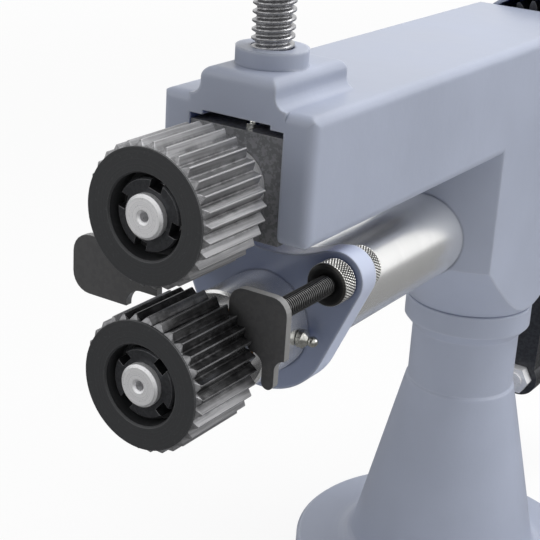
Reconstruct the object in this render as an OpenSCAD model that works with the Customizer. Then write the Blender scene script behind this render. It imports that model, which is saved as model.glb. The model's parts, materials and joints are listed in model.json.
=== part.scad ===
// Hand cranked sheet metal crimper on a cast column.
// Two fluted rolls at the front run on parallel shafts that are geared 1 to 1 at the back.
// The origin is on the bench under the column axis. +Y points back from the rolls, +Z up.

/* [Stance] */
// Height of the lower shaft above the bench
shaft_h = 260; // [240:1:320]
// Distance from the roll faces back to the column axis
reach = 346; // [330:1:380]
// Distance between the shafts with the rolls apart
centre_open = 78; // [76:0.5:84]

/* [Crimping rolls] */
// Diameter over the tooth tips
roll_d = 65; // [60:0.5:66]
// Length of a roll
roll_len = 44; // [36:1:44]
// Number of teeth on a roll
roll_teeth = 30; // [24:1:40]
// Depth of a tooth
tooth_depth = 3; // [2:0.1:3.4]
// Width of the flat on each tip and in each root
tooth_land = 0.6; // [0.4:0.1:1]
// Diameter of the plain front face
face_d = 60.4; // [59:0.1:61.5]
// Thickness of the plain front face
face_land = 1; // [0.5:0.1:2]
// Length of the bevel from the front face to the tips
bevel_len = 3.1; // [2.8:0.1:4.5]
// Diameter of the recess for the roll nut
recess_d = 38; // [36:0.5:40]
// Depth of the recess for the roll nut
recess_depth = 11; // [9:0.5:16]

/* [Roll nuts] */
// Outer diameter of the slotted nut
nut_d = 33; // [30:0.5:35]
// Thickness of the slotted nut
nut_t = 8; // [6:0.5:10]
// Width of a spanner slot
slot_w = 6.5; // [4:0.5:8]
// Depth of a spanner slot
slot_depth = 4.5; // [3:0.5:5]
// Turn of the upper nut's slots
upper_slot_turn = -15; // [-45:1:45]
// Turn of the lower nut's slots
lower_slot_turn = 5; // [-45:1:45]

/* [Shafts] */
// Diameter of both shafts
shaft_d = 25; // [22:0.5:28]
// Thread diameter at the front ends
thread_d = 20; // [16:1:20]
// Length of thread that stands proud of the roll face
end_proud = 0.8; // [0:0.1:3]
// Bevel on the thread end
end_bevel = 1.2; // [0.5:0.1:2]
// Diameter of the lathe centre hole
centre_hole_d = 4.6; // [3:0.2:6]
// Diameter of the thrust collar behind each roll
collar_d = 34; // [30:0.5:36]
// Width of the keys in rolls and gears
key_w = 6; // [4:0.5:8]

/* [Lower tube] */
// Outer diameter of the tube
tube_d = 51; // [46:0.5:54]
// Bore of the tube
tube_bore = 37; // [34:0.5:40]
// Distance from the roll faces back to the tube's front end
tube_front = 62; // [60:1:66]
// Depth of the tube's seat in the head
tube_seat = 34; // [25:1:45]

/* [Arm] */
// Width of the arm
arm_w = 83; // [78:1:92]
// Distance from the roll faces back to the arm's front
arm_front = 65; // [62:1:70]
// Height of the arm's lower edge over the lower shaft
arm_low = 54; // [52:0.5:56]
// Height of the arm's top over the lower shaft
arm_top = 115.5; // [114:0.5:124]
// Rounding of the arm's edges
arm_round = 5; // [2:0.5:6]
// Width of the channel in the arm
channel_w = 51; // [48:0.5:54]
// Height of the channel's roof over the lower shaft
channel_top = 106.5; // [105.5:0.5:108]
// Width of the raised middle of the channel's roof
relief_w = 37; // [32:0.5:40]
// Rise of the middle of the channel's roof
relief_rise = 2.1; // [1:0.1:3]

/* [Screw boss] */
// Width of the boss on the arm
boss_w = 40; // [36:1:46]
// Length of the boss along the arm
boss_len = 62; // [56:1:68]
// Height of the boss's top over the lower shaft
boss_top = 129; // [126:0.5:136]
// Diameter of the round collar on the boss
boss_collar_d = 34; // [30:1:36]
// Height of the round collar
boss_collar_h = 8; // [5:1:14]
// Distance from the arm's front back to the screw
screw_back = 27; // [25:0.5:28]
// Fillet between the boss and the arm
boss_fillet = 6; // [3:0.5:8]

/* [Head and column] */
// Radius of the head's bowed front about the column axis
head_bow_r = 81; // [76:1:84]
// Distance from the column axis back to the head's rear face
head_back = 54; // [50:1:60]
// Height of the parting line under the lower shaft
parting_drop = 62; // [58:1:70]
// Height under the lower shaft at which the head starts to narrow
skirt_drop = 18; // [14:1:24]
// Diameter of the column's collar
column_collar_d = 81; // [76:1:83]
// Height of the column's collar
column_collar_h = 14.5; // [10:0.5:20]
// Height of the slope under the collar
column_slope_h = 7; // [4:0.5:10]
// Diameter of the column's neck
neck_d = 69; // [62:1:74]
// Length of the neck
neck_len = 38; // [30:1:46]
// Distance from the flange's rim in to the foot of the cone
cone_inset = 39; // [32:1:50]
// Diameter of the base flange
base_d = 200; // [190:1:230]
// Thickness of the base flange
base_t = 14; // [10:1:20]
// Distance from the flange's rim in to the bolt circle
bolt_inset = 14; // [11:0.5:17]
// Diameter of each bolt hole
bolt_hole_d = 13; // [9:0.5:14]
// Wall of the hollow column
column_wall = 11; // [8:0.5:14]
// Diameter of the swivel spigot
spigot_d = 46; // [40:1:50]
// Length of the swivel spigot
spigot_len = 34; // [28:1:34]

/* [Bearing block] */
// Height of the block's top over the lower shaft
block_top = 103.4; // [102:0.1:104]
// Height of the block's underside over the lower shaft
block_low = 53; // [52:0.5:56]
// Length of the block
block_len = 58; // [50:1:60]
// Outer diameter of the block's bush
block_bush_d = 30; // [29:0.5:31]
// Outer diameter of the bush behind the lower tube
bush_d = 34; // [31:0.5:36]
// Diameter of the barrel bush at the rear
barrel_d = 44; // [40:1:48]
// Length of the barrel bush
barrel_len = 26; // [20:1:28]

/* [Adjusting screw] */
// Thread diameter of the screw
screw_d = 20; // [16:1:22]
// Length of screw that shows above the boss
screw_show = 34; // [30:1:45]
// Diameter of the screw's head
screw_head_d = 28; // [26:1:34]
// Height of the screw's head
screw_head_h = 24; // [20:1:30]
// Diameter of the tommy bar
bar_d = 10; // [8:0.5:12]
// Length of the tommy bar between its knobs
bar_len = 110; // [80:5:160]
// Diameter of each knob on the bar
knob_d = 20; // [16:1:24]

/* [Gauge] */
// Distance from the roll faces back to the bracket
bracket_front = 99; // [95:1:104]
// Thickness of the bracket
bracket_t = 13; // [11:0.5:16]
// Radius of the bracket round the tube
bracket_r = 36.5; // [33:0.5:37]
// Sideways distance from the tube to a gauge rod
rod_x = 39.5; // [38:0.5:44]
// Height of the gauge rods over the lower shaft
rod_z = 31.5; // [30:0.5:34]
// Radius of the bracket's ears
ear_r = 13.5; // [11:0.5:14]
// Diameter of the gauge rods
rod_d = 9.8; // [8:0.2:10]
// Outer diameter of the knurled nuts
knurl_d = 21.4; // [18:0.2:23]
// Length of the knurled nuts
knurl_len = 11; // [8:0.5:12]
// Distance from the roll faces back to the gauge plates
plate_front = 46.8; // [46.5:0.1:47.2]
// Thickness of the gauge plates
plate_t = 4; // [3:0.5:5]

/* [Gears and crank] */
// Number of teeth on each gear
gear_teeth = 26; // [22:1:30]
// Width of the gears
gear_w = 20; // [14:1:22]
// Thickness of the gear cover
cover_t = 2.5; // [2:0.5:4]
// Radius of the crank
crank_r = 160; // [120:5:180]
// Thickness of the crank arm
crank_t = 12; // [8:1:14]
// Diameter of the crank's hub
crank_hub_d = 38; // [34:1:44]
// Length of the grip
grip_len = 96; // [80:1:120]
// Largest diameter of the grip
grip_d = 32; // [26:1:38]

/* [Hidden] */
$fn = 96;
// Overrun of every cut past the face that it leaves
over = 1;
cone_d = base_d - 2 * cone_inset;
// Bevel on the turned edges of the castings
casting_bevel = 1;
// Gap of a press seat, on the radius
seat_gap = 0.02;
// Gap of a running or sliding fit, on the radius
run_gap = 0.05;
// Steps of a quarter round
round_steps = 6;
// Gap between flat faces that pass each other
side_gap = 0.2;

// Colours
paint = [0.5, 0.53, 0.6];
dark_steel = [0.2, 0.2, 0.21];
bright_steel = [0.78, 0.78, 0.8];
black_oxide = [0.09, 0.09, 0.1];
bronze = [0.66, 0.5, 0.3];

// Rolls
roll_r = roll_d / 2;
root_r = roll_r - tooth_depth;
pitch_turn = 360 / roll_teeth;
nut_sink = recess_depth - nut_t;
bore_bevel = 0.8;
bevel_start = 0.3;
bevel_slope = (bevel_len - bevel_start) / (tooth_depth + bevel_start);
head_bevel = 2;

// Stations along the shafts, from the roll faces back
axis_y = reach;
back_y = axis_y + head_back;
tube_back = axis_y - head_bow_r + tube_seat;
channel_reach = 16;
channel_end = axis_y - head_bow_r + channel_reach;
bush_sink = 0.5;
front_bush_len = 26;
rear_bush_len = 54;
barrel_inset = 3;
barrel_y = back_y - barrel_len / 2 - barrel_inset;
tunnel_step = 3;
flange_t = 3;
flange_lip = 4;
flange_d = bush_d + 2 * flange_lip;
gear_gap = 1.2;
gear_y = back_y + flange_t + gear_gap;
gear_step = 1.5;
gear_seat_d = shaft_d - 2 * gear_step;
key_end = 2;
gear_back = gear_y + gear_w;
gear_nut_t = 9;
cover_gap = 3;
cover_back = gear_back + gear_nut_t + 2 * cover_gap;
hub_y = cover_back + cover_t + cover_gap;
hub_extra = 8;
hub_len = crank_t + hub_extra;
hub_back = hub_y + hub_len;
square_w = 15;
thread_show = 2;
crank_thread_d = 14;
washer_d = 30;
washer_t = 2.5;
crank_nut_t = 11;
crank_nut_w = 21;

// Adjusting screw and its foot in the block
screw_y = arm_front + screw_back;
block_inset = 1;
block_front = arm_front + block_inset;
pocket_d = 20.6;
pocket_depth = 7.8;
foot_d = 18;
foot_flat_d = 8;
foot_h = 4.2;
foot_dome = 0.5;
foot_clear = 0.15;
foot_low = block_top - pocket_depth + foot_clear;
foot_bore_d = 9;
foot_bore_depth = 2.8;
ring_d = 26;
ring_bore = 15.4;
ring_t = 2.8;
ring_hole_d = 3;
screw_neck_d = 12;
neck_show = 1.6;
nipple_thread_d = 5.2;
nipple_seat = 4;
nipple_h = 4.6;
block_nipple_x = 4;
block_nipple_y = screw_y - 1.4 * ring_d / 2;
tube_nipple_h = 10.5;
relief_len = 70;
collar_top = boss_top + boss_collar_h;
screw_top = collar_top + screw_show;

// Head, arm and column
cover_post_x = 35;
cover_post_z = centre_open / 2;
cover_post_d = 11;
cover_screw_d = 6;
cover_screw_depth = 14;
clamp_z = -(parting_drop - spigot_len / 2);
clamp_d = 10;
clamp_stand = 3;
clamp_head_w = 17;
clamp_head_t = 10;
groove_depth = 3;
groove_w = 11;
column_top = shaft_h - parting_drop;
neck_top = column_top - column_collar_h - column_slope_h;
neck_low = neck_top - neck_len;
neck_step = 1.2;
column_round = 14;
hollow_top = neck_low;

// Gears
gear_m = centre_open / gear_teeth;
gear_r = centre_open / 2;
gear_tip_r = gear_r + gear_m;
gear_root_r = gear_r - 1.25 * gear_m;
pressure = 20;
backlash = 0.2;
gear_steps = [for (s = [0:0.25:1]) gear_root_r + s * (gear_tip_r - gear_root_r)];
gear_dish = 3;
gear_rim = 5;
gear_nut_w = 30;
spacer_d = 31;
spacer_room = 1.5;
cover_room = 3.4;

// Gauge
web_turn = atan2(rod_z, rod_x);
web_reach = sqrt(rod_x * rod_x + rod_z * rod_z);
web_lean = acos((bracket_r - ear_r) / web_reach);
saddle_r = 71;
saddle_z = 36.3;
nut_gap = 0.1;
rod_room = 0.3;
rod_back = bracket_front + bracket_t + nut_gap + knurl_len + thread_show;
knurl_bevel = 1.2;
nipple_y = 91;
grub_d = 8;
grub_sink = 1;
front_nut_y = bracket_front - nut_gap - knurl_len;
rear_nut_y = bracket_front + bracket_t + nut_gap;

// Gauge plates: the right one has a tail that hangs down, the left one a notch round the lower roll
plate_w = 31;
plate_h = 29;
plate_mid_x = 29.2;
plate_mid_z = 23;
plate_round = 8;
tail_w = 6.5;
tail_x = 36.5;
tail_z = -4.5;
bite_r = 6;
left_w = 51;
left_h = 30;
left_mid_x = -52.5;
left_mid_z = 26;
left_round = 10;
left_notch_x = -45;
left_notch_z = 20.5;
left_bite_r = 8.5;

// Grease nipples, as shares of their thread and height
nipple_hex_share = 1.35;
nipple_ball_share = 0.85;
nipple_hex_h_share = 0.42;
nipple_waist_share = 0.6;
nipple_hole_share = 0.22;

// Crank pin, grip and the screws of the cover
crank_eye_d = 28;
pin_d = 12;
crank_arm_share = 0.8;
pin_nut_w = 18;
pin_nut_t = 8;
pin_head_d = 20;
pin_head_t = 4;
grip_gap = 0.5;
grip_y = hub_back + grip_gap;
grip_back = grip_y + grip_len;
grip_shares = [[0, 0.74], [0.04, 0.84], [0.1, 0.86], [0.2, 0.84], [0.35, 0.9], [0.55, 0.98], [0.7, 1],
  [0.85, 0.94], [0.94, 0.8], [1, 0.64]];
cover_head_d = 11;
cover_head_t = 3;

// Swap Y and Z, so that a flat outline stands up and its depth runs back
module along_y() {
  mirror([0, 1, -1]) children();
}

// Put a piece that is drawn from the roll face into its place
module at_head() {
  translate([0, -reach, shaft_h]) children();
}

// Round bar between two stations
module bar_y(d, from, to) {
  translate([0, from, 0]) along_y() cylinder(d = d, h = to - from);
}

// Round bar along X, away from the middle
module bar_x(d, from, to) {
  translate([from, 0, 0]) rotate([0, 90, 0]) cylinder(d = d, h = to - from);
}

// Turned piece about the Y axis, from a list of radius and station
module turned(outline) {
  along_y() rotate_extrude() polygon(outline);
}

// Rectangle with round corners, centred
module soft_rect(w, h, r) {
  polygon([for (q = [0:3], k = [0:round_steps])
    let (a = 90 * q + 90 * k / round_steps)
    let (x = q == 0 || q == 3 ? w / 2 - r : r - w / 2, y = q < 2 ? h / 2 - r : r - h / 2)
    [x, y] + polar(r, a)]);
}

// Block with every edge rounded, from its low corner
module soft_block(size, r) {
  translate(size / 2) intersection() {
    translate([0, 0, -size[2] / 2]) linear_extrude(size[2]) soft_rect(size[0], size[1], r);
    translate([0, -size[1] / 2, 0]) along_y() linear_extrude(size[1]) soft_rect(size[0], size[2], r);
    translate([-size[0] / 2, 0, 0]) rotate([90, 0, 90]) linear_extrude(size[0])
      soft_rect(size[1], size[2], r);
  }
}

// A point at a radius and an angle
function polar(r, a) = [r * cos(a), r * sin(a)];

// Outline of a crimping roll: V teeth with a narrow flat on every tip and in every root
module tooth_ring(first) {
  tip_turn = asin(tooth_land / 2 / roll_r);
  root_turn = asin(tooth_land / 2 / root_r);
  polygon([for (i = [0:roll_teeth - 1], k = [0:3])
    let (a = first + i * pitch_turn)
    k == 0 ? polar(roll_r, a - tip_turn) :
    k == 1 ? polar(roll_r, a + tip_turn) :
    k == 2 ? polar(root_r, a + pitch_turn / 2 - root_turn) :
    polar(root_r, a + pitch_turn / 2 + root_turn)]);
}

// Crimping roll with its front face at station 0: the teeth run out in a bevel behind a plain disc
module roll(first) {
  difference() {
    union() {
      intersection() {
        along_y() linear_extrude(roll_len) tooth_ring(first);
        turned([[0, bevel_start], [root_r - bevel_start, bevel_start],
          [roll_r + over, bevel_len + over * bevel_slope], [roll_r + over, roll_len + over],
          [0, roll_len + over]]);
      }
      bar_y(face_d, 0, face_land);
    }
    turned([[0, -over], [recess_d / 2 + bore_bevel + over, -over], [recess_d / 2, bore_bevel],
      [recess_d / 2, recess_depth], [0, recess_depth]]);
    bar_y(shaft_d + 2 * seat_gap, 0, roll_len + over);
    key_slot(shaft_d, recess_depth - over, roll_len + over);
  }
}

// Slot or key on top of a seat
module key_slot(seat, from, to) {
  translate([-key_w / 2 - seat_gap, from, 0])
    cube([key_w + 2 * seat_gap, to - from, seat / 2 + key_w / 2]);
}
module key_bar(seat, from, to) {
  translate([-key_w / 2, from, seat / 2 - key_w / 2]) cube([key_w, to - from, key_w - seat_gap]);
}

// Slotted round nut that holds a roll
module roll_nut(turn) {
  slot_floor = nut_d / 2 - slot_depth;
  difference() {
    turned([[0, nut_sink], [nut_d / 2 - bore_bevel, nut_sink], [nut_d / 2, nut_sink + bore_bevel],
      [nut_d / 2, recess_depth], [0, recess_depth]]);
    bar_y(thread_d + 2 * seat_gap, 0, recess_depth + over);
    for (a = [0:90:270]) rotate([0, turn + a, 0])
      translate([slot_floor, 0, -slot_w / 2]) cube([slot_depth + over, recess_depth + over, slot_w]);
  }
}

// Front part of a shaft, shared by both: thread, roll seat and thrust collar
function front_outline(collar_end) = [
  [0, -end_proud], [thread_d / 2 - end_bevel, -end_proud], [thread_d / 2, end_bevel - end_proud],
  [thread_d / 2, recess_depth], [shaft_d / 2, recess_depth], [shaft_d / 2, roll_len],
  [collar_d / 2, roll_len], [collar_d / 2, collar_end], [shaft_d / 2, collar_end]
];

// Lathe centre and key seats
module shaft_cuts() {
  bar_y(centre_hole_d, -end_proud - over, 2 * centre_hole_d);
  turned([[0, -end_proud - over], [centre_hole_d / 2 + 2 * over, -end_proud - over],
    [centre_hole_d / 2, centre_hole_d / 4 - end_proud], [0, centre_hole_d / 4 - end_proud]]);
  key_seat(shaft_d, recess_depth + key_end, roll_len - key_end);
  key_seat(gear_seat_d, gear_y + key_end, gear_back - key_end);
}
module key_seat(seat, from, to) {
  translate([-key_w / 2 - seat_gap, from - seat_gap, seat / 2 - key_w / 2 - seat_gap])
    cube([key_w + 2 * seat_gap, to - from + 2 * seat_gap, key_w]);
}

// Plain bush between two stations
module bush(outer, bore, from, to) {
  difference() {
    bar_y(outer, from, to);
    bar_y(bore, from - over, to + over);
  }
}

// Column: flange, cone, neck, collar and swivel spigot, hollow from below
module column() color(paint) {
  inner_top = neck_d / 2 - column_wall;
  inner_low = cone_d / 2 - column_wall;
  spigot_top = column_top + spigot_len;
  groove_z = shaft_h + clamp_z;
  difference() {
    rotate_extrude() polygon(concat(
      [[inner_low, 0], [base_d / 2 - casting_bevel, 0], [base_d / 2, casting_bevel],
        [base_d / 2, base_t - 2 * casting_bevel], [base_d / 2 - 2 * casting_bevel, base_t]],
      [for (a = [0:15:75]) [cone_d / 2 + column_round, base_t + column_round]
        + column_round * [-sin(a), -cos(a)]],
      [[neck_d / 2 + neck_step, neck_low], [neck_d / 2, neck_low + neck_step], [neck_d / 2, neck_top],
        [column_collar_d / 2, neck_top + column_slope_h],
        [column_collar_d / 2, column_top - casting_bevel],
        [column_collar_d / 2 - casting_bevel, column_top], [spigot_d / 2, column_top],
        [spigot_d / 2, groove_z - groove_w / 2],
        [spigot_d / 2 - groove_depth, groove_z - groove_w / 2],
        [spigot_d / 2 - groove_depth, groove_z + groove_w / 2],
        [spigot_d / 2, groove_z + groove_w / 2], [spigot_d / 2, spigot_top - casting_bevel],
        [spigot_d / 2 - casting_bevel, spigot_top], [0, spigot_top], [0, hollow_top],
        [inner_top / 2, hollow_top]]));
    for (a = [45:90:315]) rotate(a) translate([base_d / 2 - bolt_inset, 0, -over])
      cylinder(d = bolt_hole_d, h = base_t + 2 * over);
  }
}

// Outline of the head seen from above, about the column axis
module head_plan() {
  intersection() {
    circle(head_bow_r, $fn = 180);
    translate([0, head_back / 2 - head_bow_r]) soft_rect(arm_w, 2 * head_bow_r + head_back, arm_round);
  }
}

// Head under the arm: straight sides, bowed front, narrowing to the parting line
module head_body() {
  translate([0, axis_y, -skirt_drop]) linear_extrude(arm_low + skirt_drop + 2 * arm_round) head_plan();
  translate([0, axis_y, 0]) intersection() {
    translate([0, 0, -parting_drop]) linear_extrude(parting_drop) head_plan();
    rotate_extrude($fn = 180) polygon([[0, -parting_drop],
      [column_collar_d / 2 - casting_bevel, -parting_drop],
      [column_collar_d / 2, casting_bevel - parting_drop], [head_bow_r, -skirt_drop], [0, -skirt_drop]]);
  }
}

// Right half of the boss seen from the front: round top edge, side, fillet down into the arm
boss_half = concat(
  [for (k = [0:round_steps]) [boss_w / 2 - arm_round, boss_top - arm_round]
    + polar(arm_round, 90 - 90 * k / round_steps)],
  [for (k = [0:round_steps]) [boss_w / 2 + boss_fillet, arm_top + boss_fillet - run_gap]
    + polar(boss_fillet, 180 + 90 * k / round_steps)],
  [[boss_w / 2 + boss_fillet, arm_top - boss_fillet]]);

// Boss on the arm with its round collar
module screw_boss() {
  intersection() {
    translate([0, arm_front, 0]) along_y() linear_extrude(boss_len)
      polygon(concat(boss_half, [for (i = [len(boss_half) - 1:-1:0]) [-boss_half[i][0], boss_half[i][1]]]));
    translate([-arm_w / 2, arm_front + boss_len / 2, (arm_low + boss_top) / 2]) rotate([90, 0, 90])
      linear_extrude(arm_w) soft_rect(boss_len, boss_top - arm_low, arm_round);
  }
  translate([0, screw_y, arm_top]) cylinder(d = boss_collar_d, h = collar_top - arm_top);
}

// The upper casting: arm, boss and head in one piece
module head_casting() color(paint) at_head() difference() {
  union() {
    translate([-arm_w / 2, arm_front, arm_low])
      soft_block([arm_w, back_y - arm_front, arm_top - arm_low], arm_round);
    head_body();
    screw_boss();
  }
  translate([-channel_w / 2, arm_front - over, arm_low - over])
    cube([channel_w, channel_end - arm_front + over, channel_top - arm_low + over]);
  translate([-relief_w / 2, arm_front - over, arm_low])
    cube([relief_w, relief_len + over, channel_top + relief_rise - arm_low]);
  translate([0, screw_y, channel_top]) cylinder(d = screw_d + 2 * run_gap, h = collar_top);
  translate([0, 0, centre_open]) {
    bar_y(barrel_d - 2 * tunnel_step, channel_end - over, barrel_y);
    bar_y(barrel_d + 2 * run_gap, barrel_y - barrel_len / 2, back_y + over);
  }
  bar_y(tube_d + 2 * seat_gap, axis_y - head_bow_r - over, tube_back);
  bar_y(bush_d + 2 * seat_gap, tube_back - over, back_y + over);
  translate([0, axis_y, -parting_drop - over])
    cylinder(d = spigot_d + 2 * run_gap, h = spigot_len + 2 * over);
  translate([0, axis_y, clamp_z]) mirror([1, 0, 0])
    bar_x(clamp_d + 2 * seat_gap, spigot_d / 2 - over, arm_w / 2 + over);
  for (side = [-1, 1]) translate([side * cover_post_x, 0, cover_post_z])
    bar_y(cover_screw_d + 2 * seat_gap, back_y - cover_screw_depth, back_y + over);
}

// Polished tube round the lower shaft
module lower_tube() color(bright_steel) at_head() difference() {
  turned([[0, tube_front], [tube_d / 2 - end_bevel, tube_front], [tube_d / 2, tube_front + end_bevel],
    [tube_d / 2, tube_back], [0, tube_back]]);
  bar_y(tube_bore, tube_front - over, tube_back + over);
  translate([0, nipple_y, 0]) bar_x(nipple_thread_d + 2 * seat_gap, 0, tube_d);
}
module lower_front_bush() color(bronze) at_head()
  bush(tube_bore - 2 * seat_gap, shaft_d + 2 * run_gap, tube_front + bush_sink, tube_front + front_bush_len);
module lower_rear_bush() color(bronze) at_head() difference() {
  union() {
    bar_y(bush_d, back_y - rear_bush_len, back_y);
    bar_y(flange_d, back_y, back_y + flange_t);
  }
  bar_y(shaft_d + 2 * run_gap, back_y - rear_bush_len - over, back_y + flange_t + over);
}

// Lower shaft, with a square and a thread for the crank at its back end
module lower_shaft() color(bright_steel) at_head() difference() {
  union() {
    turned(concat(front_outline(tube_front + bush_sink - side_gap),
      [[shaft_d / 2, gear_y - side_gap], [gear_seat_d / 2, gear_y - side_gap],
      [gear_seat_d / 2, hub_y - side_gap], [0, hub_y - side_gap]]));
    translate([-square_w / 2, hub_y - side_gap, -square_w / 2])
      cube([square_w, hub_len - side_gap, square_w]);
    bar_y(crank_thread_d, hub_y, hub_back + washer_t + crank_nut_t + thread_show);
  }
  shaft_cuts();
}
module lower_roll() color(dark_steel) at_head() roll(90 - pitch_turn / 4);
module lower_roll_nut() color(dark_steel) at_head() roll_nut(-45 - lower_slot_turn);
module lower_roll_key() color(dark_steel) at_head()
  key_bar(shaft_d, recess_depth + key_end, roll_len - key_end);

// Block that slides in the channel and carries the upper shaft
module bearing_block() color(dark_steel) at_head() difference() {
  block_w = channel_w - 2 * side_gap;
  translate([-block_w / 2, block_front, block_low]) cube([block_w, block_len, block_top - block_low]);
  translate([0, 0, centre_open])
    bar_y(block_bush_d + 2 * seat_gap, block_front - over, block_front + block_len + over);
  translate([0, screw_y, block_top - pocket_depth]) cylinder(d = pocket_d, h = pocket_depth + over);
  translate([0, screw_y, block_top - ring_t]) cylinder(d = ring_d + 2 * seat_gap, h = ring_t + over);
  translate([block_nipple_x, block_nipple_y, block_top - nipple_seat])
    cylinder(d = nipple_thread_d + 2 * seat_gap, h = nipple_seat + over);
}
module block_bush() color(bronze) at_head() translate([0, 0, centre_open])
  bush(block_bush_d, shaft_d + 2 * run_gap, block_front, block_front + block_len);

// Grease nipple seen from its seat outward along +Z: hexagon, cone and ball head
module nipple(body_h) {
  hex_d = nipple_hex_share * nipple_thread_d;
  ball_d = nipple_ball_share * nipple_thread_d;
  difference() {
    union() {
      translate([0, 0, side_gap - nipple_seat]) cylinder(d = nipple_thread_d, h = nipple_seat);
      cylinder(d = hex_d, h = nipple_hex_h_share * body_h, $fn = 6);
      cylinder(d1 = nipple_thread_d, d2 = nipple_waist_share * nipple_thread_d, h = body_h - ball_d / 2);
      translate([0, 0, body_h - ball_d / 2]) sphere(d = ball_d);
    }
    translate([0, 0, body_h - ball_d / 2]) cylinder(d = nipple_hole_share * nipple_thread_d, h = ball_d);
  }
}
module block_grease_nipple() color(bright_steel) at_head()
  translate([block_nipple_x, block_nipple_y, block_top]) nipple(nipple_h);
module tube_grease_nipple() color(bright_steel) at_head() translate([tube_d / 2, nipple_y, 0])
  rotate([0, 90, 0]) nipple(tube_nipple_h);

// Threaded ring that keeps the screw's foot in the block, with two holes for a pin spanner
module foot_ring_nut() color(dark_steel) at_head() translate([0, screw_y, block_top - ring_t]) difference() {
  cylinder(d = ring_d, h = ring_t);
  translate([0, 0, -over]) cylinder(d = ring_bore, h = ring_t + 2 * over);
  for (side = [-1, 1]) translate([side * (ring_d + ring_bore) / 4, 0, -over])
    cylinder(d = ring_hole_d, h = ring_t + 2 * over);
}

// Barrel bush at the rear, round so that the upper shaft can tip in its bore
module barrel_bush() color(bronze) at_head() translate([0, barrel_y, centre_open]) difference() {
  end_turn = asin(barrel_len / barrel_d);
  turned(concat([[0, -barrel_len / 2]],
    [for (k = [-round_steps:round_steps]) barrel_d / 2
      * [cos(k / round_steps * end_turn), sin(k / round_steps * end_turn)]], [[0, barrel_len / 2]]));
  bar_y(shaft_d + 2 * run_gap, -barrel_len, barrel_len);
}

// Upper shaft, with a thread for the gear nut at its back end
module upper_shaft() color(bright_steel) at_head() translate([0, 0, centre_open]) difference() {
  turned(concat(front_outline(block_front - side_gap),
    [[shaft_d / 2, gear_y - side_gap], [gear_seat_d / 2, gear_y - side_gap],
    [gear_seat_d / 2, gear_back - side_gap], [thread_d / 2, gear_back - side_gap],
    [thread_d / 2, gear_back + gear_nut_t + thread_show], [0, gear_back + gear_nut_t + thread_show]]));
  shaft_cuts();
}
module upper_roll() color(dark_steel) at_head() translate([0, 0, centre_open]) roll(-90 - pitch_turn / 4);
module upper_roll_nut() color(dark_steel) at_head() translate([0, 0, centre_open]) roll_nut(-upper_slot_turn);
module upper_roll_key() color(dark_steel) at_head() translate([0, 0, centre_open])
  key_bar(shaft_d, recess_depth + key_end, roll_len - key_end);

// Foot of the adjusting screw: it rides in the block's pocket and doesn't turn
module screw_foot() color(dark_steel) at_head() translate([0, screw_y, foot_low]) difference() {
  rotate_extrude() polygon([[0, 0], [foot_flat_d / 2, 0], [foot_d / 2, foot_dome],
    [foot_d / 2, foot_h], [0, foot_h]]);
  translate([0, 0, foot_h - foot_bore_depth])
    cylinder(d = foot_bore_d + 2 * run_gap, h = foot_bore_depth + over);
}

// Adjusting screw: journal in the foot, neck, thread and drilled head
module adjusting_screw() color(bright_steel) at_head() translate([0, screw_y, 0]) difference() {
  journal_low = foot_low + foot_h - foot_bore_depth + foot_clear;
  neck_top_z = block_top + neck_show;
  head_low = screw_top;
  head_high = screw_top + screw_head_h;
  rotate_extrude() polygon([[0, journal_low], [foot_bore_d / 2, journal_low],
    [foot_bore_d / 2, foot_low + foot_h + foot_clear], [screw_neck_d / 2, foot_low + foot_h + foot_clear],
    [screw_neck_d / 2, neck_top_z], [screw_d / 2, neck_top_z + bore_bevel], [screw_d / 2, head_low],
    [screw_head_d / 2 - head_bevel, head_low], [screw_head_d / 2, head_low + head_bevel],
    [screw_head_d / 2, head_high - head_bevel], [screw_head_d / 2 - head_bevel, head_high], [0, head_high]]);
  translate([0, 0, screw_top + screw_head_h / 2]) bar_x(bar_d + 2 * run_gap, -screw_head_d, screw_head_d);
}
module tommy_bar() color(bright_steel) at_head() translate([0, screw_y, screw_top + screw_head_h / 2])
  bar_x(bar_d, -bar_len / 2, bar_len / 2);
module bar_knobs() color(black_oxide) at_head() translate([0, screw_y, screw_top + screw_head_h / 2])
  for (side = [0, 1]) mirror([side, 0, 0]) difference() {
    translate([bar_len / 2, 0, 0]) sphere(d = knob_d);
    bar_x(bar_d + 2 * seat_gap, 0, bar_len / 2);
    bar_x(knob_d, bar_len / 2 - knob_d, bar_len / 2 - knob_d / 2 + bore_bevel);
  }

// Bracket outline seen from the front: a ring with two ears and a saddle between them
module bracket_outline() {
  difference() {
    union() {
      circle(bracket_r);
      for (side = [-1, 1]) scale_side(side) {
        translate([rod_x, rod_z]) circle(ear_r);
        polygon([[0, 0], polar(bracket_r - seat_gap, web_turn - web_lean),
          [rod_x, rod_z] + polar(ear_r - seat_gap, web_turn - web_lean), [rod_x, rod_z],
          [rod_x, rod_z] + polar(ear_r - seat_gap, web_turn + web_lean),
          polar(bracket_r - seat_gap, web_turn + web_lean)]);
      }
    }
    translate([0, saddle_z + saddle_r]) circle(saddle_r, $fn = 180);
  }
}
module scale_side(side) {
  if (side > 0) children();
  else mirror([1, 0]) children();
}
module gauge_bracket() color(paint) at_head() difference() {
  translate([0, bracket_front, 0]) along_y() linear_extrude(bracket_t) bracket_outline();
  bar_y(tube_d + 2 * seat_gap, bracket_front - over, bracket_front + bracket_t + over);
  for (side = [-1, 1]) translate([side * rod_x, 0, rod_z])
    bar_y(rod_d + 2 * rod_room, bracket_front - over, bracket_front + bracket_t + over);
  translate([0, bracket_front + bracket_t / 2, -bracket_r - over])
    cylinder(d = grub_d + 2 * seat_gap, h = bracket_r);
}
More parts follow.
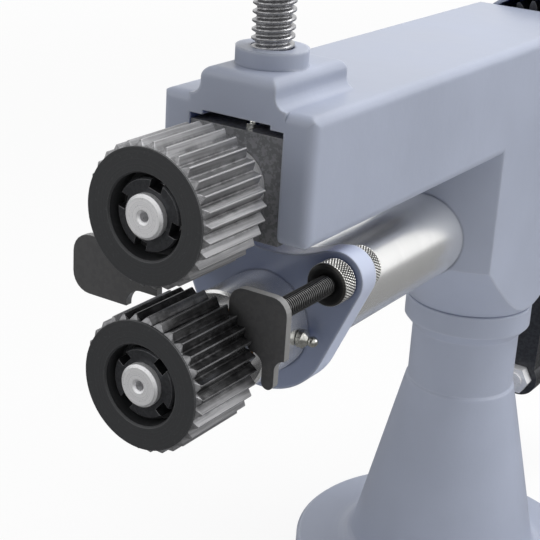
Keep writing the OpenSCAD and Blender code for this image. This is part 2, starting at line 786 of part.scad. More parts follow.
module bracket_grub_screw() color(black_oxide) at_head()
  translate([0, bracket_front + bracket_t / 2, grub_sink - bracket_r]) difference() {
    cylinder(d = grub_d, h = bracket_r - grub_sink - tube_d / 2 - seat_gap);
    translate([0, 0, -over]) cylinder(d = grub_d / 2, h = grub_d / 2 + over, $fn = 6);
  }

// Gauge plates: fences behind the rolls that stop the sheet's edge
module right_gauge_plate() color(black_oxide) at_head() translate([0, plate_front, 0]) along_y()
  linear_extrude(plate_t) difference() {
    union() {
      translate([plate_mid_x, plate_mid_z]) soft_rect(plate_w, plate_h, plate_round);
      translate([plate_mid_x + plate_w / 4, plate_mid_z - plate_h / 2])
        square([plate_w / 2, plate_h / 2], center = true);
      translate([tail_x - tail_w / 2, tail_z]) square([tail_w, plate_mid_z - tail_z]);
      translate([tail_x, tail_z]) circle(tail_w / 2);
    }
    translate([tail_x + tail_w / 2 + bite_r, plate_mid_z - plate_h / 2 - bite_r]) circle(bite_r);
    translate([tail_x + tail_w / 2, plate_mid_z - plate_h - bite_r])
      square([plate_w, plate_h / 2]);
    translate([tail_x - tail_w / 2 - bite_r, plate_mid_z - plate_h / 2 - bite_r])
      circle(bite_r);
    translate([tail_x - tail_w / 2 - plate_w, plate_mid_z - plate_h - bite_r])
      square([plate_w, plate_h / 2]);
  }
module gauge_rod(side) {
  translate([side * rod_x, 0, rod_z]) turned([[0, plate_front + plate_t],
    [rod_d / 2, plate_front + plate_t], [rod_d / 2, rod_back - bore_bevel],
    [rod_d / 2 - bore_bevel, rod_back], [0, rod_back]]);
}
module right_gauge_rod() color(black_oxide) at_head() gauge_rod(1);
module left_gauge_rod() color(black_oxide) at_head() gauge_rod(-1);
module left_gauge_plate() color(black_oxide) at_head() translate([0, plate_front, 0]) along_y()
  linear_extrude(plate_t) difference() {
    translate([left_mid_x, left_mid_z]) soft_rect(left_w, left_h, left_round);
    translate([left_notch_x + left_bite_r, left_notch_z - left_bite_r]) circle(left_bite_r);
    translate([left_notch_x + left_bite_r, left_mid_z - left_h])
      square([left_w, left_notch_z - left_mid_z + left_h]);
    translate([left_notch_x, left_mid_z - left_h])
      square([left_w, left_notch_z - left_bite_r - left_mid_z + left_h]);
  }

// Knurled round nut with its low face at a station
module knurled_nut(side, from) {
  translate([side * rod_x, 0, rod_z]) difference() {
    turned([[0, from], [knurl_d / 2 - knurl_bevel, from], [knurl_d / 2, from + knurl_bevel],
      [knurl_d / 2, from + knurl_len - knurl_bevel], [knurl_d / 2 - knurl_bevel, from + knurl_len],
      [0, from + knurl_len]]);
    bar_y(rod_d + 2 * run_gap, from - over, from + knurl_len + over);
  }
}
module right_front_nut() color(dark_steel) at_head() knurled_nut(1, front_nut_y);
module right_rear_nut() color(dark_steel) at_head() knurled_nut(1, rear_nut_y);
module left_front_nut() color(dark_steel) at_head() knurled_nut(-1, front_nut_y);
module left_rear_nut() color(dark_steel) at_head() knurled_nut(-1, rear_nut_y);

// Half the angle that an involute tooth covers at a radius
function roll_angle(r) = let (base = gear_r * cos(pressure)) r <= base ? 0 :
  sqrt(r * r / (base * base) - 1) * 180 / PI - acos(base / r);
function half_tooth(r) = 90 / gear_teeth - backlash / gear_r * 90 / PI
  + roll_angle(gear_r) - roll_angle(r);
module gear_outline(first) {
  polygon([for (i = [0:gear_teeth - 1], k = [0:2 * len(gear_steps) - 1])
    let (n = len(gear_steps), up = k < n, r = gear_steps[up ? k : 2 * n - 1 - k])
    polar(r, first + i * 360 / gear_teeth + (up ? -1 : 1) * half_tooth(r))]);
}
module gear(first) {
  difference() {
    translate([0, gear_y, 0]) along_y() linear_extrude(gear_w) gear_outline(first);
    bar_y(gear_seat_d + 2 * seat_gap, gear_y - over, gear_back + over);
    key_slot(gear_seat_d, gear_y - over, gear_back + over);
    for (side = [0, 1]) translate([0, side * (gear_w + gear_dish) + gear_y - gear_dish, 0]) difference() {
      bar_y(2 * (gear_root_r - gear_rim), 0, 2 * gear_dish);
      bar_y(flange_d, -over, 2 * gear_dish + over);
    }
  }
}
module lower_gear() color(dark_steel) at_head() gear(90);
module lower_gear_key() color(dark_steel) at_head()
  key_bar(gear_seat_d, gear_y + key_end, gear_back - key_end);
module upper_gear() color(dark_steel) at_head() translate([0, 0, centre_open]) gear(-90 + 180 / gear_teeth);
module upper_gear_key() color(dark_steel) at_head() translate([0, 0, centre_open])
  key_bar(gear_seat_d, gear_y + key_end, gear_back - key_end);
module upper_gear_nut() color(bright_steel) at_head() translate([0, 0, centre_open]) difference() {
  translate([0, gear_back, 0]) along_y() cylinder(d = gear_nut_w / cos(30), h = gear_nut_t, $fn = 6);
  bar_y(thread_d + 2 * seat_gap, gear_back - over, gear_back + gear_nut_t + over);
}

// Spacer that carries the crank hub clear of the cover
module crank_spacer() color(bright_steel) at_head()
  bush(spacer_d, gear_seat_d + 2 * seat_gap, gear_back, hub_y - side_gap);

// Sheet cover over both gears
module cover_outline(r) {
  circle(r);
  translate([0, centre_open]) circle(r);
  translate([-r, 0]) square([2 * r, centre_open]);
}
module gear_cover() color(paint) at_head() difference() {
  cover_r = gear_tip_r + cover_room + cover_t;
  translate([0, back_y, 0]) along_y() linear_extrude(cover_back + cover_t - back_y) cover_outline(cover_r);
  translate([0, back_y - over, 0]) along_y() linear_extrude(cover_back - back_y + over)
    cover_outline(cover_r - cover_t);
  bar_y(spacer_d + 2 * spacer_room, back_y, cover_back + cover_t + over);
  for (side = [-1, 1]) translate([side * cover_post_x, 0, cover_post_z])
    bar_y(cover_screw_d + 2 * run_gap, back_y, cover_back + cover_t + over);
}
module cover_posts() color(bright_steel) at_head() for (side = [-1, 1])
  translate([side * cover_post_x, 0, cover_post_z])
    bush(cover_post_d, cover_screw_d + 2 * run_gap, back_y, cover_back);
module cover_screws() color(black_oxide) at_head() for (side = [-1, 1])
  translate([side * cover_post_x, 0, cover_post_z]) difference() {
    union() {
      bar_y(cover_screw_d, back_y - cover_screw_depth + thread_show, cover_back + cover_t);
      bar_y(cover_head_d, cover_back + cover_t, cover_back + cover_t + cover_head_t);
    }
    translate([0, cover_back + cover_t + cover_head_t / 3, 0]) along_y()
      cylinder(d = cover_screw_d / 2, h = cover_head_t, $fn = 6);
  }

// Crank: hub on the square, tapered arm hanging down, eye for the grip pin
module crank_outline() {
  lean = asin((crank_hub_d - crank_eye_d) / 2 / crank_r);
  circle(d = crank_hub_d);
  translate([0, -crank_r]) circle(d = crank_eye_d);
  polygon([polar(crank_arm_share * crank_hub_d / 2, lean),
    polar(crank_arm_share * crank_hub_d / 2, 180 - lean),
    [0, -crank_r] + polar(crank_arm_share * crank_eye_d / 2, 180 - lean),
    [0, -crank_r] + polar(crank_arm_share * crank_eye_d / 2, lean)]);
}
module crank_arm() color(dark_steel) at_head() difference() {
  union() {
    translate([0, hub_back - crank_t, 0]) along_y() linear_extrude(crank_t) crank_outline();
    bar_y(crank_hub_d, hub_y, hub_back);
  }
  translate([-square_w / 2 - seat_gap, hub_y - over, -square_w / 2 - seat_gap])
    cube([square_w + 2 * seat_gap, hub_len + 2 * over, square_w + 2 * seat_gap]);
  translate([0, 0, -crank_r]) bar_y(pin_d + 2 * seat_gap, hub_y, hub_back + over);
}
module crank_washer() color(bright_steel) at_head()
  bush(washer_d, crank_thread_d + 2 * run_gap, hub_back, hub_back + washer_t);
module crank_nut() color(bright_steel) at_head() difference() {
  translate([0, hub_back + washer_t, 0]) along_y()
    cylinder(d = crank_nut_w / cos(30), h = crank_nut_t, $fn = 6);
  bar_y(crank_thread_d + 2 * seat_gap, hub_back, hub_back + washer_t + crank_nut_t + over);
}
module grip_pin() color(bright_steel) at_head() translate([0, 0, -crank_r]) {
  bar_y(pin_d, hub_back - crank_t - pin_nut_t - thread_show, grip_back + side_gap);
  bar_y(pin_head_d, grip_back + side_gap, grip_back + side_gap + pin_head_t);
}
module grip_pin_nut() color(bright_steel) at_head() translate([0, 0, -crank_r]) difference() {
  translate([0, hub_back - crank_t - pin_nut_t, 0]) along_y()
    cylinder(d = pin_nut_w / cos(30), h = pin_nut_t, $fn = 6);
  bar_y(pin_d + 2 * seat_gap, hub_back - crank_t - 2 * pin_nut_t, hub_back);
}
module crank_grip() color(black_oxide) at_head() translate([0, 0, -crank_r]) difference() {
  turned(concat([[0, grip_y]], [for (p = grip_shares) [p[1] * grip_d / 2, grip_y + p[0] * grip_len]],
    [[0, grip_back]]));
  bar_y(pin_d + 2 * run_gap, grip_y - over, grip_back + over);
}

// Square head screw on the left that locks the head on the spigot
module swivel_clamp_screw() color(black_oxide) at_head() translate([0, axis_y, clamp_z])
  mirror([1, 0, 0]) {
    bar_x(clamp_d, spigot_d / 2 - groove_depth + side_gap, arm_w / 2 + clamp_stand);
    translate([arm_w / 2 + clamp_stand, -clamp_head_w / 2, -clamp_head_w / 2])
      cube([clamp_head_t, clamp_head_w, clamp_head_w]);
  }

column();
head_casting();
lower_tube();
lower_front_bush();
lower_rear_bush();
lower_shaft();
lower_roll();
lower_roll_nut();
lower_roll_key();
bearing_block();
block_bush();
block_grease_nipple();
foot_ring_nut();
barrel_bush();
upper_shaft();
upper_roll();
upper_roll_nut();
upper_roll_key();
screw_foot();
adjusting_screw();
tommy_bar();
bar_knobs();
gauge_bracket();
bracket_grub_screw();
tube_grease_nipple();
right_gauge_plate();
right_gauge_rod();
right_front_nut();
right_rear_nut();
left_gauge_plate();
left_gauge_rod();
left_front_nut();
left_rear_nut();
lower_gear();
lower_gear_key();
crank_spacer();
upper_gear();
upper_gear_key();
upper_gear_nut();
gear_cover();
cover_posts();
cover_screws();
crank_arm();
crank_washer();
crank_nut();
grip_pin();
grip_pin_nut();
crank_grip();
swivel_clamp_screw();
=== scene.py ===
# %% [markdown]
# # A hand cranked sheet metal crimper
# Two fluted steel rolls stand at the front of a cast arm. The lower one turns in a polished tube and the
# upper one in an iron block that an adjusting screw pushes down. Behind the rolls two black gauge plates
# stop the sheet's edge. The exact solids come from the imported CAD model. This lesson adds what they leave
# out: knurls, screw threads, a turned grease nipple, a moulded grip, and the paint, oxide and bare metal on
# every surface.

# %% Load the frame
import json
import math
import bpy
import numpy as np
from mathutils import Matrix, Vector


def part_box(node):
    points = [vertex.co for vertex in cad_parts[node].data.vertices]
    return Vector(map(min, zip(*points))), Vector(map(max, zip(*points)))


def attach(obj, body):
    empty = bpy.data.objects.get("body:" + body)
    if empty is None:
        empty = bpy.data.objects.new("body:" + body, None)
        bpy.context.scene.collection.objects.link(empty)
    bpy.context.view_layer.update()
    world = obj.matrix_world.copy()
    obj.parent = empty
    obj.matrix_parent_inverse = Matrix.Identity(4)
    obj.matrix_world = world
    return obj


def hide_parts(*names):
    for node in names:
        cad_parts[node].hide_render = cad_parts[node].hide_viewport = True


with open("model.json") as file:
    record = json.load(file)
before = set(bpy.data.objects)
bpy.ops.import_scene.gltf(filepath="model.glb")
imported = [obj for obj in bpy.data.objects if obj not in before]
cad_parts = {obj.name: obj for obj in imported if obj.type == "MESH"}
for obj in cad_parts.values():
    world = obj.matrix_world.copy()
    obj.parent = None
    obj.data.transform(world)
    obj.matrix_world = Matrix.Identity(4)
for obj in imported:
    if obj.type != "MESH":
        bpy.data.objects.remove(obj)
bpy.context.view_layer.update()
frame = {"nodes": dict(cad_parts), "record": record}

MM = 0.001
nodes = frame["nodes"]
record = frame["record"]
body_of = {name: body for body, names in record["behaviour"]["bodies"].items() for name in names}
slot_of = {row["node"]: row["material_slot"] for row in record["subparts"]}

# %% [markdown]
# ## Measures from the frame
# Most parts of this machine are round about an axis that runs from front to back. The box of a node gives
# that axis, the radius and both ends, so the finishes and the new pieces take their places from the CAD
# model.

# %% Measures


def axis_of(node):
    """Middle of the node across the Y axis, its radius, and where it starts and ends along Y."""
    low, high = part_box(node)
    return (low.x + high.x) / 2, (low.z + high.z) / 2, (high.x - low.x) / 2, low.y, high.y


shaft_low_z, shaft_high_z = axis_of("lower_shaft")[1], axis_of("upper_shaft")[1]
print("shaft axes at", round(shaft_low_z / MM, 1), "and", round(shaft_high_z / MM, 1), "mm over the bench")

# %% [markdown]
# ## Camera
# The photograph is a close view of the rolls from the front right, a little above. The camera stands where
# the rolls' four circles and the arm's edges fall on the same pixels as in the photograph. Its axes are
# worked out from three angles, because a small roll of the camera can't be had by only pointing it at a
# target.

# %% Camera
camera_place = (0.34113, -0.78901, 0.53123)
camera_turn, camera_rise, camera_roll = (math.radians(angle) for angle in (31.854, 20.935, 3.666))
film_width, lens_length = 36, 94.098  # Blender takes these two in millimetres
shift_right, shift_up = -0.00876, -0.00057
clip_near, clip_far = 0.01, 50


def camera_axes(turn, rise, roll):
    """Right, up and back directions: back points from the target to the camera, right lies level, up is
    their cross product, and the roll then turns right and up about back."""
    back = np.array([math.sin(turn) * math.cos(rise), -math.cos(turn) * math.cos(rise), math.sin(rise)])
    right = np.array([math.cos(turn), math.sin(turn), 0.0])
    up = np.cross(back, right)
    cosine, sine = math.cos(roll), math.sin(roll)
    return right * cosine + up * sine, -right * sine + up * cosine, back


axes = np.stack(camera_axes(camera_turn, camera_rise, camera_roll), axis=1)
camera_data = bpy.data.cameras.new("camera")
camera_data.sensor_width, camera_data.lens = film_width, lens_length
camera_data.shift_x, camera_data.shift_y = shift_right, shift_up
camera_data.clip_start, camera_data.clip_end = clip_near, clip_far
camera = bpy.data.objects.new("camera", camera_data)
camera.matrix_world = Matrix.Translation(camera_place) @ Matrix(axes.tolist()).to_4x4()
bpy.context.scene.collection.objects.link(camera)
bpy.context.scene.camera = camera
print("camera looks along", [round(-float(x), 3) for x in axes[:, 2]])

# %% [markdown]
# ## Lamps
# A product studio has big soft lamps, so the light has no hard edges. The main lamp hangs above and behind
# the right side: the arm's top is brightest, its side is lit, and the faces that look at the rolls lie in
# shade. Two weaker ones fill in from the right and from the front left. Area lamps are used, because a point
# or a sun lamp would draw hard shadows.

# %% Lamps
lamp_target = np.array([0.0, -0.2, 0.3])


def soft_lamp(name, place, size, power):
    """A square area lamp at a place, turned so that its -Z axis runs along the line to the target."""
    data = bpy.data.lights.new(name, "AREA")
    data.shape, data.size, data.energy = "SQUARE", size, power
    lamp = bpy.data.objects.new(name, data)
    back = np.array(place) - lamp_target
    back = back / np.linalg.norm(back)
    side = np.cross([0.0, 0.0, 1.0], back)
    side = side / np.linalg.norm(side)
    turn = Matrix(np.stack([side, np.cross(back, side), back], axis=1).tolist()).to_4x4()
    lamp.matrix_world = Matrix.Translation(place) @ turn
    bpy.context.scene.collection.objects.link(lamp)
    print("lamp", name, "at", place, "m, size", size, "m, power", power, "W")


soft_lamp("lamp_top", place=(0.35, 0.35, 1.75), size=1.1, power=21)
soft_lamp("lamp_right", place=(1.6, 0.55, 1.05), size=1.0, power=9)
soft_lamp("lamp_front", place=(-0.9, -1.5, 0.9), size=1.0, power=3)

# %% [markdown]
# ## White surroundings
# The picture has to be white all round the machine. A world that is simply white would also light the paint
# from every side and take its shape away. So the shaders ask what kind of ray has come to them. The world
# shows white to the camera and to reflections, and lights the rest at less than half of that.

# %% Helpers that wire nodes


def add(tree, kind, inputs=None, **settings):
    """Put a node into a tree, set its properties, and wire or set its inputs by name or number."""
    made = tree.nodes.new(kind)
    for name, value in settings.items():
        setattr(made, name, value)
    for name, value in (inputs or {}).items():
        if isinstance(value, bpy.types.NodeSocket):
            tree.links.new(value, made.inputs[name])
        else:
            made.inputs[name].default_value = value
    return made


def calc(tree, operation, first, second=0.0, clamp=False):
    """One step of arithmetic on two numbers or sockets."""
    inputs = {0: first, 1: second}
    return add(tree, "ShaderNodeMath", inputs, operation=operation, use_clamp=clamp).outputs[0]


def times(tree, first, second):
    """One number or socket times another."""
    return calc(tree, "MULTIPLY", first, second)


def ramp(tree, value, low, high, to_low=0.0, to_high=1.0):
    """A smooth step: to_low below low, to_high above high."""
    inputs = {"Value": value, "From Min": low, "From Max": high, "To Min": to_low, "To Max": to_high}
    return add(tree, "ShaderNodeMapRange", inputs, interpolation_type="SMOOTHSTEP").outputs[0]


print("helpers:", [helper.__name__ for helper in (add, calc, times, ramp)])

# %% World
ambient = 0.42
world = bpy.data.worlds.new("studio")
bpy.context.scene.world = world
world.use_nodes = True
tree = world.node_tree
tree.nodes.clear()
path = add(tree, "ShaderNodeLightPath").outputs
shiny = calc(tree, "MAXIMUM", path["Is Glossy Ray"], path["Is Transmission Ray"])
seen = calc(tree, "MAXIMUM", path["Is Camera Ray"], shiny)
strength = add(tree, "ShaderNodeMapRange", {"Value": seen, "To Min": ambient}).outputs[0]
sky = add(tree, "ShaderNodeBackground", {"Color": (1, 1, 1, 1), "Strength": strength})
add(tree, "ShaderNodeOutputWorld", {"Surface": sky.outputs[0]})
print("the world lights the machine with", ambient, "of its white")

# %% [markdown]
# ### Floor
# The machine stands on a floor that the camera mustn't notice. A matt white floor would turn grey in the
# shade. So to the camera it glows: near the machine a little of the matt floor stays in the mix and lets a
# faint shadow show, and from three metres on it is all glow, so that no line is left where it meets the
# world. To a reflection it glows dimly, because a bright floor would wash out every face that looks down. To
# all other rays it is matt.

# %% Floor
floor_grey, floor_glow, floor_shine = 0.85, 0.88, 0.2
glow_start, glow_end = 0.4, 3.0
floor_reach = 30.0


def floor_shader(tree):
    """Matt paint mixed with glow. The share of glow is 1 for reflections, and for camera rays it rises with
    the distance from the machine. The glow's strength is 1 to the camera and floor_shine to reflections."""
    path = add(tree, "ShaderNodeLightPath").outputs
    matt = add(tree, "ShaderNodeBsdfDiffuse", {"Color": (floor_grey, floor_grey, floor_grey, 1)})
    power = calc(tree, "ADD", path["Is Camera Ray"], times(tree, path["Is Glossy Ray"], floor_shine))
    glow = add(tree, "ShaderNodeEmission", {"Color": (1, 1, 1, 1), "Strength": power})
    place = add(tree, "ShaderNodeTexCoord").outputs["Object"]
    away = add(tree, "ShaderNodeVectorMath", {0: place}, operation="LENGTH").outputs["Value"]
    whiter = ramp(tree, away, glow_start, glow_end, floor_glow, 1.0)
    share = calc(tree, "MAXIMUM", times(tree, path["Is Camera Ray"], whiter), path["Is Glossy Ray"])
    blend = add(tree, "ShaderNodeMixShader", {0: share, 1: matt.outputs[0], 2: glow.outputs[0]})
    add(tree, "ShaderNodeOutputMaterial", {"Surface": blend.outputs[0]})


floor_paint = bpy.data.materials.new("floor_paint")
floor_paint.use_nodes = True
floor_paint.node_tree.nodes.clear()
floor_shader(floor_paint.node_tree)

floor_mesh = bpy.data.meshes.new("floor")
floor_corners = [(x * floor_reach, y * floor_reach, 0) for x, y in ((-1, -1), (1, -1), (1, 1), (-1, 1))]
floor_mesh.from_pydata(floor_corners, [], [(0, 1, 2, 3)])
floor_mesh.materials.append(floor_paint)
floor = bpy.data.objects.new("floor", floor_mesh)
bpy.context.scene.collection.objects.link(floor)
print("floor glow", floor_glow, "near the machine and 1 from", glow_end, "m on")

# %% [markdown]
# ## Shared effects
# The same few things happen to many surfaces: edges catch light or lose paint, castings have a skin like
# orange peel, a lathe leaves rings, a grinder leaves long scratches and bare iron is mottled. Each is one
# node group, built once and placed in every material that needs it. A group gives masks, values and normals;
# the shader stays outside.

# %% Helpers for node groups
rays_a_point = 6
place_input = ("Vector", "NodeSocketVector", (0, 0, 0))
# Noise stays near its middle, so a span of it is stretched to run from 0 to 1.
wide_span, soft_span, firm_span, speck_span = (0.2, 0.8), (0.3, 0.7), (0.35, 0.65), (0.58, 0.72)


def new_group(name, inputs, outputs):
    """An empty group with inputs (name, kind, value) and outputs (name, kind). Returns its tree and ends."""
    group = bpy.data.node_groups.new(name, "ShaderNodeTree")
    for label, kind, value in inputs:
        group.interface.new_socket(label, in_out="INPUT", socket_type=kind).default_value = value
    for label, kind in outputs:
        group.interface.new_socket(label, in_out="OUTPUT", socket_type=kind)
    return group, group.nodes.new("NodeGroupInput").outputs, group.nodes.new("NodeGroupOutput").inputs


def use(tree, group, inputs=None):
    """Place a group in a tree, wire or set its inputs, and return its outputs."""
    return add(tree, "ShaderNodeGroup", inputs, node_tree=group).outputs


def noise(tree, vector, scale, detail=2.0, roughness=0.5):
    """Smooth noise from 0 to 1 with a feature every 1/scale metres."""
    inputs = {"Vector": vector, "Scale": scale, "Detail": detail, "Roughness": roughness}
    return add(tree, "ShaderNodeTexNoise", inputs).outputs[0]


def open_sky(tree, reach):
    """The share of open sky over a point, counting only what stands nearer than the reach."""
    return add(tree, "ShaderNodeAmbientOcclusion", {"Distance": reach}, samples=rays_a_point).outputs["AO"]


def between(tree, share, first, second):
    """A number that goes smoothly from first to second while the share goes from 0 to 1."""
    return ramp(tree, share, 0.0, 1.0, first, second)


print("edge and sky effects look along", rays_a_point, "rays from each point")

# %% [markdown]
# ### Edges
# A real edge is never sharp. The Bevel node looks at the faces near a point and returns the normal that a
# small round would have. Where that differs from the face's own normal there is an edge, so the same node
# also gives a mask for paler edges, partly wear and partly a painted highlight. Modelled bevels would have to
# change the CAD meshes, which stay as they are. In an inward corner part of the sky is hidden, so the share
# of open sky within a few millimetres tells the two kinds apart: it takes the pale line out of the corners
# and gives a second mask, for painted shade and grime that darken them.

# %% Edge group
corner_reach = 2.5 * MM
edge_sky, corner_sky = (0.7, 0.92), (0.75, 0.35)

edge_inputs = [("Radius", "NodeSocketFloat", 1 * MM), ("Gain", "NodeSocketFloat", 4.0)]
edge_outputs = [("Normal", "NodeSocketVector"), ("Mask", "NodeSocketFloat"), ("Corner", "NodeSocketFloat")]
edges, ends, out = new_group("edges", edge_inputs, edge_outputs)
rounded = add(edges, "ShaderNodeBevel", {"Radius": ends["Radius"]}, samples=rays_a_point).outputs[0]
facing = add(edges, "ShaderNodeNewGeometry").outputs["Normal"]
agree = add(edges, "ShaderNodeVectorMath", {0: rounded, 1: facing}, operation="DOT_PRODUCT").outputs["Value"]
differ = calc(edges, "MULTIPLY", calc(edges, "SUBTRACT", 1.0, agree), ends["Gain"], clamp=True)
near_sky = open_sky(edges, corner_reach)
edges.links.new(rounded, out["Normal"])
edges.links.new(times(edges, differ, ramp(edges, near_sky, *edge_sky)), out["Mask"])
# Corner: mask for the painted shade and grime that darken inward corners.
edges.links.new(ramp(edges, near_sky, *corner_sky), out["Corner"])
print("group", edges.name, "with", len(edges.nodes), "nodes")

# %% [markdown]
# ### Faces round a plate
# The gauge plates and their bracket are flat: a broad front and back, and a narrow band round them that
# catches more light, so the band is painted paler as painted light. The object's own normal tells them apart.
# It runs along Y on the broad faces and across Y on the band, so the share of band is 1 where the normal's Y
# part is small.

# %% Group for the faces round a plate
band_span = (0.7, 0.3)

sides, ends, out = new_group("sides", [], [("Share", "NodeSocketFloat")])
own_normal = add(sides, "ShaderNodeTexCoord").outputs["Normal"]
lengthwise = add(sides, "ShaderNodeSeparateXYZ", {0: own_normal}).outputs["Y"]
sides.links.new(ramp(sides, calc(sides, "ABSOLUTE", lengthwise), *band_span), out["Share"])
print("group", sides.name, "with", len(sides.nodes), "nodes")

# %% [markdown]
# ### Cast skin
# Enamel over sand-cast iron is never flat: the sand leaves soft lumps some millimetres across and the spray
# leaves a finer orange peel. Two sizes of noise give the height, and a slow third one makes the colour drift
# a little.

# %% Cast skin group
lumps_a_metre, peel_a_metre, drifts_a_metre = 90.0, 620.0, 14.0
peel_share = 0.16

cast_skin, ends, out = new_group("cast_skin", [place_input],
                                 [("Height", "NodeSocketFloat"), ("Drift", "NodeSocketFloat")])
lumps = noise(cast_skin, ends["Vector"], lumps_a_metre)
peel = noise(cast_skin, ends["Vector"], peel_a_metre, detail=1.0)
drift = noise(cast_skin, ends["Vector"], drifts_a_metre, detail=3.0)
cast_skin.links.new(calc(cast_skin, "ADD", lumps, times(cast_skin, peel, peel_share)), out["Height"])
cast_skin.links.new(ramp(cast_skin, drift, *soft_span), out["Drift"])
print("group", cast_skin.name, "with", len(cast_skin.nodes), "nodes")

# %% [markdown]
# ### Turned, ground and mottled metal
# A lathe tool leaves rings round the axis, so their pattern depends only on the distance from the axis and
# the place along it. Grinding and polishing leave lines that run one way: noise squeezed across them. Bare
# iron has dark and light patches, with small specks among them.

# %% Groups for turned metal
radius, ends, out = new_group("radius", [place_input],
                              [("Radius", "NodeSocketFloat"), ("Along", "NodeSocketFloat")])
parts = add(radius, "ShaderNodeSeparateXYZ", {0: ends["Vector"]}).outputs
across = add(radius, "ShaderNodeCombineXYZ", {0: parts["X"], 1: parts["Z"]}).outputs[0]
length = add(radius, "ShaderNodeVectorMath", {0: across}, operation="LENGTH").outputs["Value"]
radius.links.new(length, out["Radius"])
radius.links.new(parts["Y"], out["Along"])

rings, ends, out = new_group("rings", [place_input, ("Density", "NodeSocketFloat", 2500.0)],
                             [("Value", "NodeSocketFloat")])
polar = use(rings, radius, {"Vector": ends["Vector"]})
place = add(rings, "ShaderNodeCombineXYZ", {0: polar["Radius"], 1: polar["Along"]}).outputs[0]
rings.links.new(noise(rings, place, ends["Density"], roughness=0.6), out["Value"])
print("groups for turned metal:", [group.name for group in (radius, rings)])

# %% Groups for ground and mottled metal
speck_fineness = 5.0

lines, ends, out = new_group("lines", [place_input, ("Density", "NodeSocketVector", (900, 30, 900))],
                             [("Value", "NodeSocketFloat")])
squeezed = add(lines, "ShaderNodeVectorMath", {0: ends["Vector"], 1: ends["Density"]}, operation="MULTIPLY")
lines.links.new(noise(lines, squeezed.outputs[0], 1.0, detail=3.0, roughness=0.6), out["Value"])

mottle, ends, out = new_group("mottle", [place_input, ("Density", "NodeSocketFloat", 250.0)],
                              [("Patches", "NodeSocketFloat"), ("Specks", "NodeSocketFloat")])
patches = noise(mottle, ends["Vector"], ends["Density"], detail=5.0, roughness=0.65)
specks = noise(mottle, ends["Vector"], times(mottle, ends["Density"], speck_fineness), roughness=0.7)
mottle.links.new(ramp(mottle, patches, *firm_span), out["Patches"])
mottle.links.new(ramp(mottle, specks, *speck_span), out["Specks"])
print("groups for ground and mottled metal:", [group.name for group in (lines, mottle)])

# %% [markdown]
# ## Materials
# Each material has one Principled shader, and the groups above feed its sockets. A colour is written as a
# photograph's pixels give it, from 0 to 255, because that is how it is compared with the photograph.

# %% Helpers for materials
finishes = {}


def colour(red, green, blue):
    """Pixel values from 0 to 255 turned into the linear values that light uses."""
    share = np.array([red, green, blue]) / 255
    linear = np.where(share <= 0.04045, share / 12.92, ((share + 0.055) / 1.055) ** 2.4)
    return (*(float(x) for x in linear), 1.0)


def dimmed(shade, shares):
    """A colour with its red, green and blue taken down to shares of themselves."""
    return (*(share * part for share, part in zip(shares, shade)), 1.0)


def mix(tree, share, first, second):
    """A colour between two colours."""
    return add(tree, "ShaderNodeMix", {0: share, 6: first, 7: second}, data_type="RGBA").outputs[2]


def new_finish(name, **settings):
    """A finish with one Principled shader. Returns its tree, the shader and the place on the object."""
    material = bpy.data.materials.new(name)
    material.use_nodes = True
    finishes[name] = material
    print("finish", name)
    tree = material.node_tree
    shader = tree.nodes["Principled BSDF"]
    for label, value in settings.items():
        shader.inputs[label.replace("_", " ")].default_value = value
    return tree, shader, add(tree, "ShaderNodeTexCoord").outputs["Object"]


def centred(tree, place, x, z):
    """The place measured from an axis along Y through x and z."""
    return add(tree, "ShaderNodeMapping", {"Vector": place, "Location": (-x, 0, -z)}).outputs[0]


def bump(tree, shader, height, distance, normal):
    """Raise the surface by distance metres where height is 1, on top of another normal."""
    raised = add(tree, "ShaderNodeBump", {"Height": height, "Distance": distance, "Normal": normal})
    tree.links.new(raised.outputs[0], shader.inputs["Normal"])


print("the photograph's middle grey, 128, is", round(colour(128, 128, 128)[0], 3), "in linear light")

# %% [markdown]
# ## Enamel on the castings
# The head, the column and the gear cover wear one grey-blue enamel, satin and slightly uneven. Its edges are
# painted paler, partly because paint draws thin there and partly as a painted highlight where the round
# catches the light, and the inward corners are darkened as painted shade with some grime. Inside the channel
# over the block, paint faces paint and little white light gets in, so the enamel there is painted darker and
# bluer as painted shade. The share of open sky finds such deep places, as it finds the corners, only with a
# longer reach. The gauge bracket has its own copy of the enamel, painted darker and bluer as painted shade,
# with the band round its rim painted paler as painted light.

# %% Enamel
paint_round, paint_relief = 2.4 * MM, 0.16 * MM
coat_roughness, paint_smooth, paint_dull = 0.22, 0.36, 0.46
hollow_reach, hollow_sky = 40 * MM, (0.3, 0.08)
# Painted shade: the dark blue that deep hollows are painted.
hollow_shade_blue = colour(62, 84, 168)
# The corner colour is painted shade with some grime: the body darkened and turned bluer.
drift_shares, shade_and_grime_shares = (0.93, 0.93, 0.93), (0.22, 0.28, 0.42)
shade_and_grime_cover = 0.8


